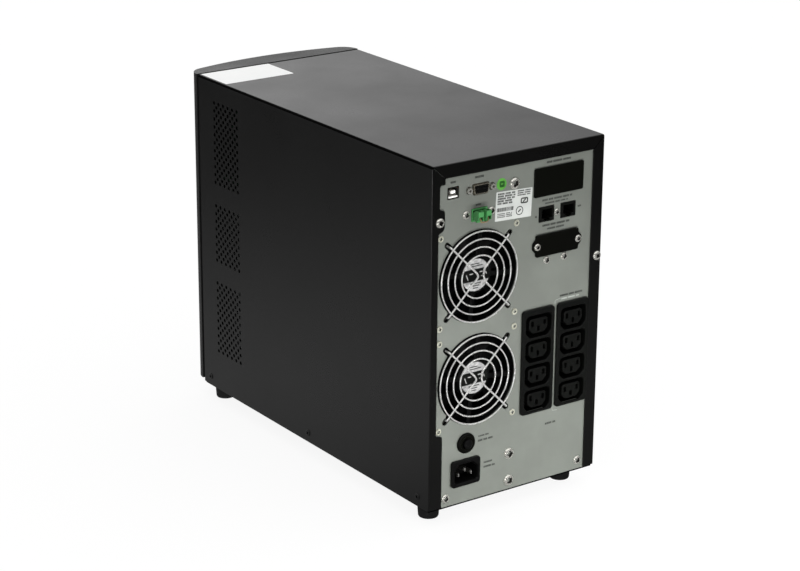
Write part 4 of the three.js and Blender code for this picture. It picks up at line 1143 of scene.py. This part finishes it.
def surge_jack(name):
    """A modular jack: a stepped opening and eight sprung contacts."""
    at = block(name)
    x, z, face = at.x, at.z, at.face
    body = fronted(at, 0.6, 0.3, at.back, 2)
    for dz, size, radius in ((0.6, (11.8, 8.4), 0.3), (-4.3, (6.2, 3.0), 0.2), (-5.6, (3.2, 2.4), 0.2)):
        body = cut(body, plate(x, z + dz, size, (at.back + 2, face + 1), radius))
    piece(name + "_housing", body, "socket_plastic", "socket_plastic", [name])
    wires = []
    for i in range(JACK_CONTACTS):
        u = x + JACK_PITCH * (i - (JACK_CONTACTS - 1) / 2)
        wires.append(tube([(u, face - 2.4, z + 4.5), (u, face - 9.5, z + 1.6)], 0.22, 6))
    piece(name + "_contacts", merged(*wires), "contact_gold", "pin_nickel")


def slot_cover():
    at = block("slot_cover")
    cover = joined(fronted(at, 1.6, 0.45, COVER_SEAT), plate(at.x, at.z, (48.4, 21.4), (at.back, ON_PANEL)))
    piece("slot_cover_plate", cover, "cover_plastic", "socket_plastic", ["slot_cover"])


def battery_port_cover():
    """A plate with a pointed ear at each end for its screws."""
    at = block("battery_port_cover")
    side, shoulder, tip = 24.0, 6.5, 2.6
    ear, half = at.size[0] / 2, at.size[1] / 2
    right = [
        (side, -half, 2.0), (side, -shoulder, 1.5), (ear, -tip, 2.2), (ear, tip, 2.2), (side, shoulder, 1.5),
        (side, half, 2.0),
    ]
    outline = filleted(right + [(-u, -v, radius) for u, v, radius in right])
    cover = prism([(at.x + u, at.z + v) for u, v in outline], (COVER_SEAT, at.face))
    cover = softened(cover, 0.6, 3, on_rear(at.face))
    piece("battery_port_plate", cover, "cover_plastic", "socket_plastic", ["battery_port_cover"])


# ------------ labels and markings


def dashes(draw, left, right, z, height, y):
    """A line of plain short dashes that stands for a line of small print."""
    bars = []
    x = left
    word = draw.randint(4, 8)
    while x - 0.8 > right:
        width = min(draw.uniform(0.7, 1.3), x - right)
        bars.append(box((x - width, x), (y - INK, y + INK), (z - height / 2, z + height / 2)))
        word -= 1
        gap = 0.26 if word else 1.3
        word = word or draw.randint(4, 8)
        x -= width + gap
    return bars


def panel_print():
    """The panel's small print, and the pale line beside the outlets with its turned-in ends."""
    draw = random.Random(11)
    bars = []
    for left, right, z, height in TEXT_LINES:
        bars += dashes(draw, left, right, z, height, PANEL_FACE)
    piece("panel_print", merged(*bars), "ink")
    faint = dashes(draw, *FAINT_LINE, PANEL_FACE)
    for z, way in BRACKET_ENDS:
        corners = [(BRACKET_X, z + way * 4), (BRACKET_X, z), (BRACKET_X - 6, z - way * 0.6)]
        faint.append(tube(arc_path([(u, PANEL_FACE, v) for u, v in corners], 1.8), 0.22, 6))
    piece("panel_bracket_print", merged(*faint), "ink_pale")


def bar_pattern(draw, y):
    """Upright strokes of uneven width that encode nothing."""
    left, right, low, high = RATING_BARS
    bars = []
    x = left
    while x > right:
        stroke = draw.uniform(0.4, 1.3)
        bars.append(box((x - stroke, x), (y - INK, y + INK), (low, high)))
        x -= stroke + draw.uniform(0.25, 0.6)
    return bars


def rating_label():
    """A silver label with rows of plain dashes, a bar pattern, and a plain mark in a box and in a ring."""
    x, z = RATING_PLACE
    at = facing(x, PANEL_FACE + 0.02, z, math.radians(RATING_TURN))
    film = plate(0, 0, RATING_SIZE, (0, RATING_THICK), 0.8)
    piece("rating_label", moved(film, at), "label_silver")
    draw = random.Random(23)
    bars = []
    for rows, left, right, top, spacing, height in RATING_ROWS:
        for row in range(rows):
            bars += dashes(draw, left, right, top - row * spacing, height, RATING_THICK)
    bars += bar_pattern(draw, RATING_THICK)
    on_film = (RATING_THICK - INK, RATING_THICK + INK)
    box_at, ring_at = (-11.6, 2.4), (-6.8, -6.4)
    outlined = [
        (box_at, rectangle(*box_at, (8.2, 5.4), 1.6), rectangle(*box_at, (5.6, 2.8), 0.6)),
        (ring_at, circle(*ring_at, 4.1), circle(*ring_at, 3.3)),
    ]
    for middle, outline, hollow in outlined:
        bars.append(cut(prism(outline, on_film), prism(hollow, (RATING_THICK - 1, RATING_THICK + 1))))
        bars.append(prism(capsule(*middle, 4.0, 1.3, -0.7, 3), on_film))
    piece("rating_label_print", moved(merged(*bars), at), "ink")


def stickers():
    """The round green sticker with its plain mark, and the blank label on the top."""
    x, z, radius = STICKER
    sticker = peg(x, z, radius, (PANEL_FACE - 0.02, PANEL_FACE + 0.1), 48)
    piece("round_sticker", sticker, "label_green")
    mark_x = x - 0.5
    mark = plate(mark_x, z, (5.6, 5.8), (PANEL_FACE + 0.05, PANEL_FACE + 0.14), 1.2)
    mark = cut(mark, prism(capsule(mark_x, z + 0.1, 2.6, 1.0), THROUGH))
    piece("round_sticker_mark", mark, "ink_dark_green")
    blank = prism(rectangle(*TOP_LABEL, 0.8), (HEIGHT - 0.02, HEIGHT + 0.12), "z")
    piece("top_label", blank, "label_paper")


# ------------ front


def bow_outline(back, inset, steps=28):
    """The plan of the bezel: straight sides, rounded corners and a shallow bow."""
    radius, corner, side = BOW["radius"] - inset, BOW["corner"] - inset, HALF - inset
    bow_y = -DEPTH - BOW["reach"] + BOW["radius"]
    corner_x = HALF - BOW["corner"]
    corner_y = bow_y - math.sqrt((BOW["radius"] - BOW["corner"]) ** 2 - corner_x**2)
    sweep = math.asin(corner_x / (BOW["radius"] - BOW["corner"]))
    down = -QUARTER
    points = [(-side, back), (side, back)]
    arcs = [
        (corner_x, corner_y, corner, 0.0, down + sweep, 10),
        (0.0, bow_y, radius, down + sweep, down - sweep, steps),
        (-corner_x, corner_y, corner, down - sweep, -math.pi, 10),
    ]
    for u, v, r, start, end, count in arcs:
        for k in range(count + 1):
            a = start + (end - start) * k / count
            point = (u + r * math.cos(a), v + r * math.sin(a))
            if math.dist(point, points[-1]) > 1e-3:
                points.append(point)
    return points


def on_bow_edge(a, b):
    return abs(a.z - b.z) < 1e-4 and min(a.y, b.y) < SHELL_BACK - 1


def bowed_shell(low, high, edge, neck_z):
    """An open-backed shell of the bowed plan, with a neck that fills the seam to the cover. The neck's faces
    take the darker second finish: painted shade for the shaded groove at the seam.
    """
    wall = BOW["wall"]
    outer = softened(prism(bow_outline(SHELL_BACK, 0), (low, high), "z"), edge, 3, on_bow_edge)
    neck = box((NECK_INSET - HALF, HALF - NECK_INSET), (SHELL_BACK - 1, NECK_BACK), neck_z)
    inner = prism(bow_outline(NECK_BACK + 0.3, wall), (low + wall, high - wall), "z")
    shell = cut(joined(outer, neck), inner)
    for face in shell.faces:
        face.material_index = int(face.calc_center_median().y > SHELL_BACK + 0.05)
    return shell


def front_bezel():
    """The bowed front with its pocket for the display and buttons, and the intake slots below it."""
    low, high = case_box("front_bezel")
    lens, outside = centre("lcd_window"), FRONT - 5
    through = (outside, POCKET_BACK + 1)
    shell = bowed_shell(low.z, high.z, 0.8, (low.z, high.z - NECK_INSET))
    shell = joined(shell, plate(0, DISPLAY_Z, (101, 137), (POCKET_FLOOR - 2.6, POCKET_BACK), 3))
    shell = cut(shell, plate(0, DISPLAY_Z, (96, 132), (outside, POCKET_FLOOR), 5))
    openings = [plate(lens.x, lens.z, (68, 34), through, 1.5)]
    openings += [plate(centre(n).x, centre(n).z, (17.6, 9.6), through, 2.3) for n in BUTTON_MARKS]
    shell = cut(shell, *openings)
    shell = cut(shell, plate(lens.x, lens.z, (74.6, 40.6), (outside, POCKET_FLOOR + 1.2), 2))
    levels = [INTAKE_LOWEST + INTAKE_PITCH * i for i in range(INTAKE_SLOTS)]
    shell = cut(shell, *(prism(capsule(0, z, 120, 5), (FRONT - 6, -DEPTH - 12)) for z in levels))
    # The neck takes the near-black fan plastic: painted shade.
    finishes = {"material": "bezel_plastic", "slot": "bezel_plastic", "recess": "fan_plastic"}
    piece("bezel_moulding", shell, replaces=["front_bezel"], **finishes)
    low, high = case_box("bezel_plinth")
    plinth = bowed_shell(low.z, high.z, 1.0, (low.z + NECK_INSET, high.z))
    piece("plinth_moulding", plinth, replaces=["bezel_plinth"], **finishes)


def display_lens():
    at = block("lcd_window")
    lens = softened(plate(at.x, at.z, at.size, (at.back, at.face), 1.8), 0.35, 2, on_front(at.back))
    piece("display_lens", lens, "window_plastic", "window_plastic", ["lcd_window"])


def button_cap(name):
    """A front button with the flange that keeps it in its opening."""
    at = block(name)
    cap = plate(at.x, at.z, (17, 9), (at.back, POCKET_BACK + 1), 2)
    flange = plate(at.x, at.z, (20, 12), (POCKET_BACK + 0.3, at.face), 1)
    cap = joined(softened(cap, 0.8, 3, on_front(at.back)), flange)
    piece(name + "_cap", cap, "button_plastic", "button_plastic", [name], name)


def button_mark(name, turn):
    """A plain bar on the button, or a ring where there is no turn for one."""
    at = block(name)
    if turn is None:
        mark = hoop(2.0, 0.25, (at.x, at.back, at.z), 24, 6)
    else:
        mark = prism(capsule(at.x, at.z, 3.4, 0.6, turn, 3), (at.back - 0.05, at.back + 0.05))
    piece(name + "_mark", mark, "label_film", body=name)


# ------------ carried-over CAD nodes

CARRIED_OVER = {
    "cover_paint": ["base_chassis"],
    "galvanised_steel": ["battery_shelf"],
    "circuit_board": ["power_board", "control_board", "display_board"],
    "heat_sink_aluminium": ["heat_sink_left", "heat_sink_right"],
    "winding": ["choke", "transformer"],
    "capacitor_sleeve": ["bulk_capacitor"],
    "battery_plastic": [f"battery_{i}" for i in range(1, 9)],
}


def carried_over():
    for material, names in CARRIED_OVER.items():
        for name in names:
            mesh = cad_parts[name].data
            mesh.materials.clear()
            mesh.materials.append(MATERIALS[material])


# ------------ floor, light and camera


def painted_reflection_ramp(tree, along):
    """The glow that glossy rays see on the floor, from its stops along the sweep: a painted reflection."""
    first, last = FLOOR_STOPS[0][0], FLOOR_STOPS[-1][0]
    ramp = node(tree, "ValToRGB", {"Fac": mapped(tree, along, first, last, 0, 1)})
    elements = ramp.color_ramp.elements
    while len(elements) < len(FLOOR_STOPS):
        elements.new(0.5)
    for element, (place, value) in zip(elements, FLOOR_STOPS):
        element.position = (place - first) / (last - first)
        element.color = (value, value, value, 1)
    return ramp.outputs["Color"]


def floor():
    """A plain pale sweep. Glossy rays see a glow on it instead, which falls off with distance along the
    sweep: a painted reflection.
    """
    bm = bmesh.new()
    bmesh.ops.create_grid(bm, x_segments=8, y_segments=8, size=14.0)
    mesh = as_mesh("floor", bm)
    made, tree = graph("studio_floor", bpy.data.materials)
    pale = node(tree, "BsdfDiffuse", {"Color": (0.96, 0.96, 0.955, 1)})
    glow = node(tree, "Emission", {"Color": (1, 1, 1, 1), "Strength": 1.02})
    seen = node(tree, "MixShader", {0: FLOOR_GLOW, 1: pale.outputs[0], 2: glow.outputs[0]})
    where = node(tree, "TexCoord").outputs["Object"]
    toward = node(tree, "VectorMath", {0: where, 1: SWEEP}, operation="DOT_PRODUCT").outputs["Value"]
    painted_reflection = node(tree, "Emission", {"Color": painted_reflection_ramp(tree, toward), "Strength": 1.0})
    path = node(tree, "LightPath").outputs["Is Glossy Ray"]
    both = node(tree, "MixShader", {0: path, 1: seen.outputs[0], 2: painted_reflection.outputs[0]})
    node(tree, "OutputMaterial", {"Surface": both.outputs[0]})
    mesh.materials.append(made)
    placed("floor", mesh)


def area_light(name, place, aim, size, watts, glossy=True, diffuse=True):
    data = bpy.data.lights.new(name, "AREA")
    data.shape = "RECTANGLE"
    data.size, data.size_y = size
    data.energy = watts
    obj = placed(name, data)
    obj.location = place
    obj.rotation_euler = (Vector(aim) - Vector(place)).to_track_quat("-Z", "Y").to_euler()
    obj.visible_camera = False
    obj.visible_glossy = glossy
    obj.visible_diffuse = diffuse


def room():
    """Even white light all round. Glossy surfaces see a white ceiling and front wall, and a dark rear."""
    made, tree = graph("studio", bpy.data.worlds)
    direction = node(tree, "SeparateXYZ", {0: node(tree, "TexCoord").outputs["Generated"]})
    x_axis, y_axis, z_axis = direction.outputs
    front = mapped(tree, y_axis, -1.0, -0.72, 2.3, 0.47)
    sides = mapped(tree, y_axis, -0.62, 0.15, 1.0, 0.05)
    walls = node(tree, "Math", {0: front, 1: sides}, operation="MULTIPLY").outputs[0]
    glossy = mixed(tree, mapped(tree, z_axis, 0.4, 0.75, 0.0, 1.0), walls, 1.1)
    path = node(tree, "LightPath").outputs
    plain = mixed(tree, path["Is Camera Ray"], mapped(tree, x_axis, -0.3, 0.8, 1.12, 0.5), 1.0)
    strength = mixed(tree, path["Is Glossy Ray"], plain, glossy)
    back = node(tree, "Background", {"Color": (1, 1, 1, 1), "Strength": strength})
    node(tree, "OutputWorld", {"Surface": back.outputs[0]})
    bpy.context.scene.world = made


def lights():
    area_light("key", (1.6, 1.2, 2.6), (0, 0, 0.15), (1.8, 1.8), 9)
    area_light("glint", (0.75, 0.75, 0.04), (0.1, 0.2, 0.2), (0.7, 0.3), 2.6, diffuse=False)
    area_light("low", (-0.02, 0.56, 0.02), (0, 0.2, 0.06), (0.5, 0.12), 4.2, glossy=False)


def camera():
    azimuth, elevation, roll = (math.radians(VIEW[key]) for key in ("azimuth", "elevation", "roll"))
    data = bpy.data.cameras.new("camera")
    data.lens = VIEW["lens"]
    data.sensor_width = 36.0
    data.clip_start, data.clip_end = 0.05, 60.0
    obj = placed("camera", data)
    leaned = Matrix.Rotation(QUARTER - elevation, 4, "X") @ Matrix.Rotation(roll, 4, "Z")
    obj.matrix_world = Matrix.Translation(VIEW["place"]) @ Matrix.Rotation(azimuth, 4, "Z") @ leaned
    bpy.context.scene.camera = obj
    bpy.context.scene.view_settings.view_transform = "Standard"


# ------------ assembly

for make_materials in (make_paints, make_metals, make_plastics, make_labels):
    make_materials()
cover_shell()
rear_panel()
chassis_hem()
for foot_name in FOOT_NODES:
    foot(foot_name)
panel_screws()
side_screws()
for fan_level in LEVELS:
    fan_frame(fan_level)
    fan_rotor(fan_level)
    fan_guard(fan_level)
    fan_screws(fan_level)
for strip_name in STRIP_NODES:
    outlet_strip(strip_name)
inlet_socket()
breaker()
usb_port()
serial_port()
epo_header()
epo_plug()
epo_link()
for jack_name in JACK_NODES:
    surge_jack(jack_name)
slot_cover()
battery_port_cover()
panel_print()
rating_label()
stickers()
front_bezel()
display_lens()
for button_name in BUTTON_MARKS:
    button_cap(button_name)
for button_name, mark_turn in BUTTON_MARKS.items():
    button_mark(button_name, mark_turn)
carried_over()
floor()
room()
lights()
camera()
